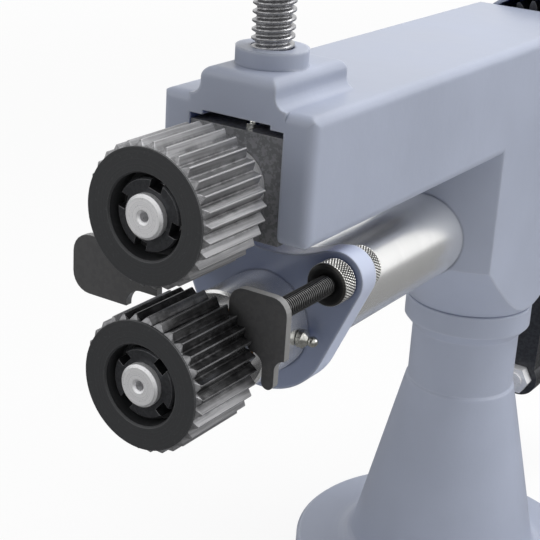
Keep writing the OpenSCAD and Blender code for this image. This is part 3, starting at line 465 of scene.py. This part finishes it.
def enamel(name, body, pale, edge_share, coat, rim=None):
    """Satin paint. The body colour drifts a little and turns paler on the edges, partly where paint draws
    thin and partly as a painted highlight. Painted shade makes it blue in a deep hollow and, with some grime,
    dark in the corners, and the rim colour, if there is one, is painted light on the band round a plate."""
    tree, shader, place = new_finish(name, Coat_Weight=coat, Coat_Roughness=coat_roughness)
    edge = use(tree, edges, {"Radius": paint_round, "Gain": 5.0})
    cast = use(tree, cast_skin, {"Vector": place})
    paint = mix(tree, cast["Drift"], dimmed(body, drift_shares), body)
    # The rim colour is painted light on the band round a plate.
    if rim is not None:
        paint = mix(tree, use(tree, sides)["Share"], paint, rim)
    # Painted shade: deep hollows, where little light gets in, are painted dark blue.
    paint = mix(tree, ramp(tree, open_sky(tree, hollow_reach), *hollow_sky), paint, hollow_shade_blue)
    # Painted shade and grime: inward corners are darkened.
    paint = mix(tree, times(tree, edge["Corner"], shade_and_grime_cover), paint, dimmed(body, shade_and_grime_shares))
    # Painted highlight and thin paint: the edges are painted paler.
    paint = mix(tree, times(tree, edge["Mask"], edge_share), paint, pale)
    tree.links.new(paint, shader.inputs["Base Color"])
    tree.links.new(between(tree, cast["Drift"], paint_smooth, paint_dull), shader.inputs["Roughness"])
    bump(tree, shader, cast["Height"], paint_relief, edge["Normal"])


enamel("casting_paint", colour(166, 173, 191), colour(214, 220, 234), edge_share=0.6, coat=0.1)
# Bracket: a copy of the enamel painted darker and bluer as painted shade, its rim band painted paler as
# painted light.
enamel("bracket_paint", colour(130, 140, 167), colour(228, 233, 244), edge_share=0.35, coat=0.4,
       rim=colour(186, 194, 216))

# %% [markdown]
# ## The rolls
# A crimping roll is hardened steel. Its front disc is turned and blackened, the flanks of the teeth are
# ground lengthwise and stay grey, old oil stains their roots in patches, and sheet metal has polished the
# tips. All of it follows the distance from the roll's own axis, so each roll gets a material centred on its
# shaft. Grease lies on the upper right of the lower roll, behind the front disc, and hides flanks and tips
# alike. It could be a piece of its own, but it is only a thin wet film, so it is a darker and smoother patch
# of the finish and turns with the roll.

# %% Roll measures and colours
roll_tip, front_y = axis_of("lower_roll")[2:4]
tooth_depth, face_land, run_out = 3 * MM, 1 * MM, 3.1 * MM
root_radius = roll_tip - tooth_depth
border = 0.1 * MM
tip_start, tip_full = roll_tip - 0.25 * MM, roll_tip - 0.05 * MM
roll_round, roll_relief = 0.5 * MM, 0.03 * MM

grease_turn = math.radians(55)
grease_side = (math.cos(grease_turn), 0, math.sin(grease_turn))
grease_start, grease_full = 0.36 * roll_tip, 0.6 * roll_tip
grease_fade = 0.8 * MM
grease_cover, grease_shine, thin_grease = 0.8, 0.26, 0.75

disc_metallic, teeth_metallic = 0.25, 0.7
disc_roughness, teeth_roughness = 0.5, 0.4
speck_share, stain_share, worn_and_lit_share, stain_climb = 0.25, 0.6, 0.4, 0.6 * tooth_depth
disc_dark, disc_light, disc_speck = colour(53, 54, 56), colour(61, 62, 64), colour(90, 91, 93)
flank_dark, flank_light = colour(126, 126, 128), colour(156, 156, 158)
root_stain, grease_black = colour(44, 44, 46), colour(22, 22, 23)
# The roll's edge colour is partly wear and partly a painted highlight.
tip_bright, roll_edge_worn_and_lit = colour(164, 164, 166), colour(176, 176, 178)
print("roll tips", round(roll_tip / MM, 2), "and roots", round(root_radius / MM, 2), "mm from the axis")

# %% Grease, disc and teeth


def grease_film(tree, turned, along, most):
    """Share of grease, up to most. It grows with the distance from the axis towards grease_side, and along
    the roll it fades in up to where the run-outs of the teeth end."""
    reach = add(tree, "ShaderNodeVectorMath", {0: turned, 1: grease_side}, operation="DOT_PRODUCT")
    film = ramp(tree, reach.outputs["Value"], grease_start, grease_full, 0.0, most)
    begin = front_y + run_out
    return times(tree, film, ramp(tree, along, begin - grease_fade, begin))


def roll_disc(tree, faced, specks):
    """The blackened front disc: two blacks in rings, with a few grey specks."""
    black = mix(tree, ramp(tree, faced, *soft_span), disc_dark, disc_light)
    return mix(tree, times(tree, specks, speck_share), black, disc_speck)


def roll_flank(tree, distance, ground, patches, film):
    """The teeth: ground grey, stained towards the root, then covered by the film of grease."""
    grey = mix(tree, ramp(tree, ground, *firm_span), flank_dark, flank_light)
    climb = ramp(tree, distance, root_radius, root_radius + stain_climb)
    stained = times(tree, calc(tree, "SUBTRACT", 1.0, climb), patches)
    grey = mix(tree, times(tree, stained, stain_share), grey, root_stain)
    return mix(tree, times(tree, film, between(tree, patches, thin_grease, 1.0)), grey, grease_black)


# %% Roll steel


def roll_steel(name, node, grease):
    """A black disc in front and grey teeth behind it. Grease hides the polished tips and the paler edges,
    which are partly wear and partly a painted highlight.
    """
    tree, shader, place = new_finish(name)
    turned = centred(tree, place, 0.0, axis_of(node)[1])
    at = use(tree, radius, {"Vector": turned})
    outside = ramp(tree, at["Radius"], root_radius - border, root_radius)
    behind = ramp(tree, at["Along"], front_y + face_land - border, front_y + face_land + border)
    toothed = times(tree, outside, behind)
    film = grease_film(tree, turned, at["Along"], grease)
    clean = calc(tree, "SUBTRACT", 1.0, times(tree, film, grease_cover))
    ground = use(tree, lines, {"Vector": place, "Density": (700, 25, 700)})["Value"]
    faced = use(tree, rings, {"Vector": turned, "Density": 1500.0})["Value"]
    stain = use(tree, mottle, {"Vector": place, "Density": 160.0})
    edge = use(tree, edges, {"Radius": roll_round, "Gain": 3.0})

    tip = times(tree, ramp(tree, at["Radius"], tip_start, tip_full), toothed)
    teeth = roll_flank(tree, at["Radius"], ground, stain["Patches"], film)
    teeth = mix(tree, times(tree, tip, clean), teeth, tip_bright)
    steel = mix(tree, toothed, roll_disc(tree, faced, stain["Specks"]), teeth)
    # Paler edges: partly wear and partly a painted highlight.
    worn_and_lit = times(tree, times(tree, edge["Mask"], worn_and_lit_share), clean)
    tree.links.new(mix(tree, worn_and_lit, steel, roll_edge_worn_and_lit), shader.inputs["Base Color"])
    tree.links.new(between(tree, toothed, disc_metallic, teeth_metallic), shader.inputs["Metallic"])
    wet = times(tree, times(tree, toothed, film), grease_shine)
    dull = between(tree, toothed, disc_roughness, teeth_roughness)
    tree.links.new(calc(tree, "SUBTRACT", dull, wet), shader.inputs["Roughness"])
    bump(tree, shader, calc(tree, "ADD", ground, faced), roll_relief, edge["Normal"])


roll_steel("roll_steel_lower", "lower_roll", grease=0.9)
roll_steel("roll_steel_upper", "upper_roll", grease=0.25)

# %% [markdown]
# ## Bright, dark and black metal
# The other metal differs in how it was finished. The tube is polished round, the roll nuts and gears are
# dark and dull, and plates and screws are blackened in hot salts, which rub off at the edges. The block is
# plain cast iron, the bushes are bronze and the grip is black plastic. One function makes all of them: a
# pattern runs between two near colours, the same pattern makes the shine uneven, and the edges are paler.
# The tube has no relief, because on so smooth a round any bump shows as scratches.

# %% Worn finishes


def worn_finish(name, dark, light, roughness, metallic, relief, edge_colour, edge_share,
                pattern=mottle, density=300.0, edge_round=0.4 * MM, rim=None, sheen=0.15):
    """A surface between dark and light, by the first value of a pattern group, with paler edges. The
    roughness swings about its middle by the share sheen; a rim colour, painted light, covers the band round a
    plate."""
    tree, shader, place = new_finish(name, Metallic=metallic)
    value = use(tree, pattern, {"Vector": place, "Density": density})[0]
    edge = use(tree, edges, {"Radius": edge_round, "Gain": 4.0})
    body = mix(tree, ramp(tree, value, *soft_span), dark, light)
    # The rim colour is painted light on the band round a plate.
    if rim is not None:
        body = mix(tree, use(tree, sides)["Share"], body, rim)
    body = mix(tree, times(tree, edge["Mask"], edge_share), body, edge_colour)
    tree.links.new(body, shader.inputs["Base Color"])
    uneven = ramp(tree, value, *wide_span, roughness * (1 + sheen), roughness * (1 - sheen))
    tree.links.new(uneven, shader.inputs["Roughness"])
    if relief:
        bump(tree, shader, value, relief, edge["Normal"])
    else:
        tree.links.new(edge["Normal"], shader.inputs["Normal"])


# %% Tube, block, nuts, screws, plates, bushes and grip
pale_edge = colour(190, 190, 192)
worn_finish("tube_steel", colour(244, 244, 243), colour(248, 248, 247), roughness=0.26, metallic=0.85,
            relief=0, edge_colour=pale_edge, edge_share=0.2, pattern=lines, density=(2, 220, 2), sheen=0.03)
worn_finish("block_iron", colour(112, 113, 116), colour(134, 135, 138), roughness=0.5, metallic=0.4,
            relief=0.03 * MM, edge_colour=colour(170, 170, 170), edge_share=0.4, density=420.0)
worn_finish("dark_steel", colour(58, 59, 62), colour(68, 69, 72), roughness=0.42, metallic=0.7,
            relief=0.008 * MM, edge_colour=pale_edge, edge_share=0.6, density=420.0)
worn_finish("black_oxide", colour(58, 58, 60), colour(66, 66, 68), roughness=0.5, metallic=0.2,
            relief=0.006 * MM, edge_colour=colour(128, 128, 130), edge_share=0.6)
# The plates' rim colour is painted light: the band round them is painted paler.
worn_finish("plate_black", colour(76, 76, 77), colour(82, 82, 83), roughness=0.5, metallic=0.1,
            relief=0.006 * MM, edge_colour=colour(140, 140, 141), edge_share=0.5, rim=colour(134, 134, 134))
worn_finish("bronze", colour(150, 112, 66), colour(184, 142, 90), roughness=0.32, metallic=1.0,
            relief=0.02 * MM, edge_colour=colour(220, 180, 120), edge_share=0.4, density=140.0)
worn_finish("nipple_plate", colour(190, 190, 184), colour(214, 214, 208), roughness=0.2, metallic=1.0,
            relief=0.01 * MM, edge_colour=colour(230, 230, 226), edge_share=0.4, edge_round=0.2 * MM)
worn_finish("grip_plastic", colour(28, 28, 30), colour(38, 38, 40), roughness=0.38, metallic=0.0,
            relief=0.04 * MM, edge_colour=colour(60, 60, 62), edge_share=0.3, density=900.0)

# %% [markdown]
# ## Shaft steel
# The shafts are turned and left bare, and their front ends show in the middle of the rolls. The rings run
# about each shaft's own axis, so the upper one needs a finish of its own. The steel is quite rough, so that
# its ends gather light from the whole bright room and not only from the dim floor.

# %% Shaft steel
shaft_dark, shaft_light = colour(232, 232, 234), colour(246, 246, 247)
shaft_speck, shaft_edge = colour(96, 96, 98), colour(226, 226, 228)
shaft_round, shaft_relief = 0.3 * MM, 0.02 * MM
shaft_dull, shaft_smooth = 0.66, 0.54


def shaft_steel(name, height):
    """Turned steel with a few dark specks: rings about the shaft's own axis, at a height over the bench."""
    tree, shader, place = new_finish(name, Metallic=0.9)
    turned = centred(tree, place, 0.0, height)
    value = use(tree, rings, {"Vector": turned, "Density": 1800.0})["Value"]
    stain = use(tree, mottle, {"Vector": place, "Density": 260.0})
    edge = use(tree, edges, {"Radius": shaft_round, "Gain": 4.0})
    body = mix(tree, ramp(tree, value, *soft_span), shaft_dark, shaft_light)
    body = mix(tree, times(tree, stain["Specks"], 0.3), body, shaft_speck)
    tree.links.new(mix(tree, edge["Mask"], body, shaft_edge), shader.inputs["Base Color"])
    tree.links.new(ramp(tree, value, *wide_span, shaft_dull, shaft_smooth), shader.inputs["Roughness"])
    bump(tree, shader, value, shaft_relief, edge["Normal"])


shaft_steel("bright_steel", shaft_low_z)
shaft_steel("bright_steel_upper", shaft_high_z)

# %% [markdown]
# ## Put the finishes on the CAD nodes
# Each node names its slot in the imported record, and most finishes carry the same name. The upper shaft with
# its gear nut, the two rolls and the two gauge plates have finishes of their own, because theirs are centred
# on another axis or have a band round the rim.

# %% Dress the nodes
own_finish = {"upper_shaft": "bright_steel_upper", "upper_gear_nut": "bright_steel_upper",
              "lower_roll": "roll_steel_lower", "upper_roll": "roll_steel_upper",
              "right_gauge_plate": "plate_black", "left_gauge_plate": "plate_black"}
for name, item in nodes.items():
    for slot in item.material_slots:
        slot.material = finishes[own_finish.get(name, slot_of[name])]
print("dressed", len(nodes), "nodes")

# %% [markdown]
# ## Surfaces from arrays
# The knurls, threads, nipple and grip are surfaces of two parameters: how far along the axis, and how far
# round it. All their points are worked out at once as one array, rows along the axis and columns round it,
# and the faces join neighbours. Columns always close into a ring; a hollow piece also joins its last row to
# its first.

# %% Surface maker


def skin(name, rows, ring, sharp=35):
    """A closed mesh over rows x columns x 3 points. A ring joins the last row to the first, as on a washer;
    otherwise a fan to the row's middle closes each end. Faces are turned outwards by the sign of the
    enclosed volume, which is the sum of a . (b x c) / 6 over its triangles."""
    count, around = rows.shape[:2]
    index = np.arange(count * around).reshape(count, around)
    east = np.roll(index, -1, axis=1)
    low, high = (index, np.roll(index, -1, axis=0)) if ring else (index[:-1], index[1:])
    low_east, high_east = (east, np.roll(east, -1, axis=0)) if ring else (east[:-1], east[1:])
    quads = np.stack([low, low_east, high_east, high], axis=-1).reshape(-1, 4)
    points = rows.reshape(-1, 3)
    fans = np.zeros((0, 3), int)
    if not ring:
        points = np.vstack([points, rows[0].mean(axis=0), rows[-1].mean(axis=0)])
        first, last = len(points) - 2, len(points) - 1
        fans = np.vstack([np.stack([east[0], index[0], np.full(around, first)], axis=1),
                          np.stack([index[-1], east[-1], np.full(around, last)], axis=1)])
    triangles = np.vstack([quads[:, :3], quads[:, [0, 2, 3]], fans])
    a, b, c = (points[triangles[:, corner]] for corner in range(3))
    volume = float(np.einsum("ij,ij->i", a, np.cross(b, c)).sum() / 6)
    if volume < 0:
        quads, fans = quads[:, ::-1], fans[:, ::-1]
    mesh = bpy.data.meshes.new(name)
    mesh.from_pydata(points.tolist(), [], quads.tolist() + fans.tolist())
    mesh.shade_smooth()
    mesh.set_sharp_from_angle(angle=math.radians(sharp))
    mesh.update()
    piece = bpy.data.objects.new(name, mesh)
    bpy.context.scene.collection.objects.link(piece)
    print(name, "faces", len(mesh.polygons), "volume", round(abs(volume) / MM ** 3, 1), "mm3")
    return piece


# %% Helpers for the new pieces


def stand_for(piece, node, finish):
    """The piece takes a CAD node's place: it rides on the node's body and shows in its stead."""
    piece.data.materials.append(finishes[finish])
    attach(piece, body_of[node])
    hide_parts(node)


def around_once(columns):
    """The columns' places round the axis, in turns from 0 to just under 1, as one row."""
    return np.linspace(0, 1, columns, endpoint=False)[None, :]


def about_y(radii, along, x, z):
    """Points at given radii and places along an axis parallel to Y, the columns spread evenly round it."""
    turn = 2 * np.pi * around_once(radii.shape[1])
    along = np.broadcast_to(along, radii.shape)
    return np.stack([x + radii * np.cos(turn), along, z + radii * np.sin(turn)], axis=-1)


def plain_rows(stations, columns, x=0.0, z=0.0):
    """One round row of points for each station, given as radius and place along the axis."""
    return [about_y(np.full((1, columns), radius), place, x, z) for radius, place in stations]


print("a ring of 8 columns starts at the turns", around_once(8).round(3).tolist()[0])

# %% [markdown]
# ## Knurled nuts
# The four round nuts on the gauge rods are rolled with a diamond knurl: two sets of slanted grooves that
# cross. A normal map would look flat against the light at the rim, so the grooves are real: each point sinks
# by the deeper of two triangle waves, one slanting each way, and the grooves get shallow before the bevels.

# %% Knurled nuts
knurl_teeth, knurl_slant, knurl_sink = 46, 4.0, 0.6 * MM
knurl_bevel, knurl_fade = 1.2 * MM, 0.5 * MM
points_a_tooth, band_rows = 8, 56
crest_share, rim_share = 0.4, 0.25
bore_gap, bore_bevel = 0.05 * MM, 0.4 * MM
bore_radius = axis_of("right_gauge_rod")[2] + bore_gap


def triangle(phase):
    """A triangle wave: 1 at each whole number that the phase passes, and 0 halfway between."""
    return np.abs((phase % 1.0) * 2 - 1)


def knurl_radius(band, turn, start, end, outer):
    """The full radius less the groove depth times the larger of two triangle waves, of (teeth x turn + slant
    x place) and (teeth x turn - slant x place). The lowest part of the wave is cut off and stays as flat
    crest, and near both ends of the band the grooves are shallower."""
    share = (band - start) / (end - start)
    wave = np.maximum(triangle(knurl_teeth * turn + knurl_slant * share),
                      triangle(knurl_teeth * turn - knurl_slant * share))
    wave = np.clip((wave - crest_share) / (1 - crest_share), 0, 1)
    inwards = np.minimum(band - start - knurl_bevel, end - knurl_bevel - band)
    fade = np.clip(inwards / knurl_fade, 0, 1)
    return outer - knurl_sink * wave * (rim_share + (1 - rim_share) * fade)


def knurled(node, finish):
    """Front face and bevel, knurled band, bevel and back face, then the bore with bevelled ends."""
    x, z, outer, start, end = axis_of(node)
    columns = knurl_teeth * points_a_tooth
    band = np.linspace(start + knurl_bevel, end - knurl_bevel, band_rows)[:, None]
    sunk = knurl_radius(band, around_once(columns), start, end, outer)
    face_radius, mouth = outer - knurl_bevel, bore_radius + bore_bevel
    front = [(mouth, start), (face_radius, start)]
    back = [(face_radius, end), (mouth, end)]
    bore = [(bore_radius, end - bore_bevel), (bore_radius, start + bore_bevel)]
    rows = plain_rows(front, columns, x, z) + [about_y(sunk, band, x, z)]
    rows += plain_rows(back + bore, columns, x, z)
    stand_for(skin(node + "_knurled", np.concatenate(rows), ring=True, sharp=50), node, finish)


# %% Steel of the knurled nuts
rub_start, rub_full = 0.6 * knurl_sink, 0.1 * knurl_sink
shade_start = 1.1 * knurl_bevel
crest_metallic, groove_metallic = 0.9, 0.4
crest_dull, crest_bright = colour(196, 195, 192), colour(212, 211, 207)
bore_black, groove_black = colour(20, 20, 21), colour(48, 47, 45)


def knurl_steel(name, node):
    """Black steel whose knurl crests are rubbed bright: the mask is the distance from the nut's own axis."""
    x, z, outer = axis_of(node)[:3]
    tree, shader, place = new_finish(name, Roughness=0.36)
    at = use(tree, radius, {"Vector": centred(tree, place, x, z)})
    crest = ramp(tree, at["Radius"], outer - rub_start, outer - rub_full)
    stain = use(tree, mottle, {"Vector": place, "Density": 500.0})
    rubbed = mix(tree, stain["Patches"], crest_dull, crest_bright)
    outside = ramp(tree, at["Radius"], outer - shade_start, outer - knurl_bevel)
    black = mix(tree, outside, bore_black, groove_black)
    tree.links.new(mix(tree, crest, black, rubbed), shader.inputs["Base Color"])
    tree.links.new(between(tree, crest, groove_metallic, crest_metallic), shader.inputs["Metallic"])


for side in ("right", "left"):
    knurl_steel("knurl_steel_" + side, side + "_front_nut")
    knurled(side + "_front_nut", "knurl_steel_" + side)
    knurled(side + "_rear_nut", "knurl_steel_" + side)

# %% [markdown]
# ## Threads
# The gauge rods are fully threaded and the adjusting screw has a coarse thread. A thread is a groove that
# moves one pitch along the axis for each turn, so the radius depends on place / pitch - turn alone. The
# rods' crests are rubbed to bare steel where the nuts run, and the oxide stays black in the grooves.

# %% Threaded rods
rod_pitch, rod_thread_depth, rod_bevel = 1.5 * MM, 0.75 * MM, 0.8 * MM
rod_rows_a_pitch, rod_columns, rod_flat = 9, 40, 0.15
thread_black, thread_rubbed = colour(16, 16, 17), colour(104, 104, 104)


def thread_radius(along, turn, outer, pitch, depth, flat):
    """Crest radius less the depth times a triangle wave of place / pitch - turn. Flat is the share of the
    wave that is cut off at its crest, and again at its root."""
    wave = np.clip((triangle(along / pitch - turn) - flat) / (1 - 2 * flat), 0, 1)
    return outer - depth * wave


def threaded_rod(node, finish):
    """A solid rod threaded along its whole length, with the rear end bevelled."""
    x, z, outer, start, end = axis_of(node)
    steps = int(round((end - start) / rod_pitch * rod_rows_a_pitch))
    along = np.linspace(start, end, steps)[:, None]
    radii = thread_radius(along, around_once(rod_columns), outer, rod_pitch, rod_thread_depth, rod_flat)
    radii = np.minimum(radii, outer - rod_bevel + (end - along))
    stand_for(skin(node + "_threaded", about_y(radii, along, x, z), ring=False, sharp=60), node, finish)


def thread_steel(name, node):
    """Black in the grooves, rubbed steel on the crests, by the distance from the rod's own axis."""
    x, z, outer = axis_of(node)[:3]
    tree, shader, place = new_finish(name, Roughness=0.34, Metallic=0.75)
    at = use(tree, radius, {"Vector": centred(tree, place, x, z)})
    crest = ramp(tree, at["Radius"], outer - 0.5 * rod_thread_depth, outer)
    tree.links.new(mix(tree, crest, thread_black, thread_rubbed), shader.inputs["Base Color"])


for node in ("right_gauge_rod", "left_gauge_rod"):
    thread_steel("thread_" + node, node)
    threaded_rod(node, "thread_" + node)

# %% [markdown]
# ## Adjusting screw
# The screw stands in the boss and pushes the upper roll's block down. It is one turned bar: a journal, a
# neck, a flat-topped thread with a 4 mm pitch, and a round head for the cross bar. The radius up the bar is a
# list of stations, and between two of them the thread's wave is taken off it.

# %% Adjusting screw
screw_low, screw_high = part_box("adjusting_screw")
screw_x = (screw_low.x + screw_high.x) / 2
screw_y = (screw_low.y + screw_high.y) / 2
screw_pitch, screw_depth, screw_flat = 4 * MM, 1.9 * MM, 0.22
screw_rows_a_pitch, screw_columns = 16, 64
screw_radius, neck_radius, journal_radius = 10 * MM, 6 * MM, 4.5 * MM
head_radius, head_height, head_bevel = (screw_high.x - screw_low.x) / 2, 24 * MM, 2 * MM
head_low = screw_high.z - head_height
foot_gap, block_gap, thread_shoulder = 0.15 * MM, 2.4 * MM, 0.8 * MM
journal_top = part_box("screw_foot")[1].z + foot_gap
thread_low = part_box("bearing_block")[1].z + block_gap
neck_top = thread_low - thread_shoulder


def adjusting_screw():
    """Rows about a bar along Y, which then changes places with Z: journal and neck, the thread, and the head
    with bevelled rims."""
    lower = [(journal_radius, screw_low.z), (journal_radius, journal_top),
             (neck_radius, journal_top), (neck_radius, neck_top)]
    rim_radius = head_radius - head_bevel
    upper = [(rim_radius, head_low), (head_radius, head_low + head_bevel),
             (head_radius, screw_high.z - head_bevel), (rim_radius, screw_high.z)]
    steps = int(round((head_low - thread_low) / screw_pitch * screw_rows_a_pitch))
    along = np.linspace(thread_low, head_low, steps)[:, None]
    turn = around_once(screw_columns)
    radii = thread_radius(along, turn, screw_radius, screw_pitch, screw_depth, screw_flat)
    rows = np.concatenate(plain_rows(lower, screw_columns) + [about_y(radii, along, 0, 0)]
                          + plain_rows(upper, screw_columns))
    return np.stack([screw_x + rows[..., 0], screw_y + rows[..., 2], rows[..., 1]], axis=-1)


worn_finish("screw_steel", colour(150, 150, 152), colour(170, 170, 172), roughness=0.3, metallic=0.9,
            relief=0.006 * MM, edge_colour=pale_edge, edge_share=0.6)
screw = skin("adjusting_screw_threaded", adjusting_screw(), ring=False, sharp=40)
stand_for(screw, "adjusting_screw", "screw_steel")

# %% [markdown]
# ## Grease nipple
# The nipple on the tube is a small turned fitting: a stud that is pressed into the wall, a round skirt that
# stands on the tube, a waist, and a ball that the grease gun's jaws grip. It is a list of stations along the
# X axis, and the ball is an arc, so that it shines as a ball does. The block's nipple is hardly seen and
# keeps its CAD form.

# %% Grease nipple
stud_radius, stud_length, ball_radius = 2.5 * MM, 4 * MM, 2.8 * MM
skirt_gap = 0.05 * MM
skirt_and_waist = np.array([(0.6, 4.7), (3.0, 4.6), (4.0, 3.7), (5.2, 2.3)]) * MM
skirt_foot = 4.3 * MM
ball_from, ball_to, ball_rows, nipple_columns = -42, 80, 14, 48


def grease_nipple(node):
    """Stations outwards along X: stud, skirt and waist, given as place beyond the tube and radius, then the
    ball as an arc up to the rim of its hole. Each is made about Y, which then changes places with X."""
    low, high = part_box(node)
    seat = low.x + stud_length
    stud = [(low.x, stud_radius), (seat + skirt_gap, stud_radius), (seat + skirt_gap, skirt_foot)]
    bend = np.radians(np.linspace(ball_from, ball_to, ball_rows))
    ball = np.stack([high.x - ball_radius + ball_radius * np.sin(bend), ball_radius * np.cos(bend)], axis=1)
    stations = np.vstack([stud, skirt_and_waist + (seat, 0), ball])
    rows = about_y(np.repeat(stations[:, 1:], nipple_columns, axis=1), stations[:, :1], 0, 0)
    y, z = (low.y + high.y) / 2, (low.z + high.z) / 2
    return np.stack([rows[..., 1], y + rows[..., 0], z + rows[..., 2]], axis=-1)


nipple = skin("tube_grease_nipple_turned", grease_nipple("tube_grease_nipple"), ring=False, sharp=30)
stand_for(nipple, "tube_grease_nipple", "nipple_plate")

# %% [markdown]
# ## Crank grip
# The grip is a moulded plastic sleeve, widest at about two thirds of its length. Its outline runs through a
# few chosen radii, and an average over neighbouring rows takes the corners off. The rows are close enough
# together that no facets show.

# %% Crank grip
grip_stations = np.array([0.0, 0.02, 0.06, 0.12, 0.25, 0.45, 0.7, 0.85, 0.95, 0.985, 1.0])
grip_shares = np.array([0.70, 0.78, 0.85, 0.86, 0.85, 0.93, 1.0, 0.95, 0.8, 0.7, 0.6])
neighbour_weights = np.array([1, 2, 3, 2, 1]) / 9
grip_rows, grip_columns = 60, 72
grip_bore = 6.05 * MM


def crank_grip(node):
    """The radii run straight from station to station, and then each row takes the weighted average of itself
    and two rows on each side. The bore joins the last row to the first."""
    x, z, outer, start, end = axis_of(node)
    share = np.linspace(0, 1, grip_rows)
    straight = outer * np.interp(share, grip_stations, grip_shares)
    radii = np.convolve(np.pad(straight, 2, mode="edge"), neighbour_weights, mode="valid")
    outline = list(zip(radii, start + share * (end - start))) + [(grip_bore, end), (grip_bore, start)]
    return np.concatenate(plain_rows(outline, grip_columns, x, z))


stand_for(skin("crank_grip_moulded", crank_grip("crank_grip"), ring=True), "crank_grip", "grip_plastic")

# %% [markdown]
# ## View transform
# The new pieces must stay inside the box of the CAD model. The view transform is Standard, which shows the
# colours as they were chosen.

# %% View transform
bpy.context.scene.view_settings.view_transform = "Standard"
bpy.context.view_layer.update()
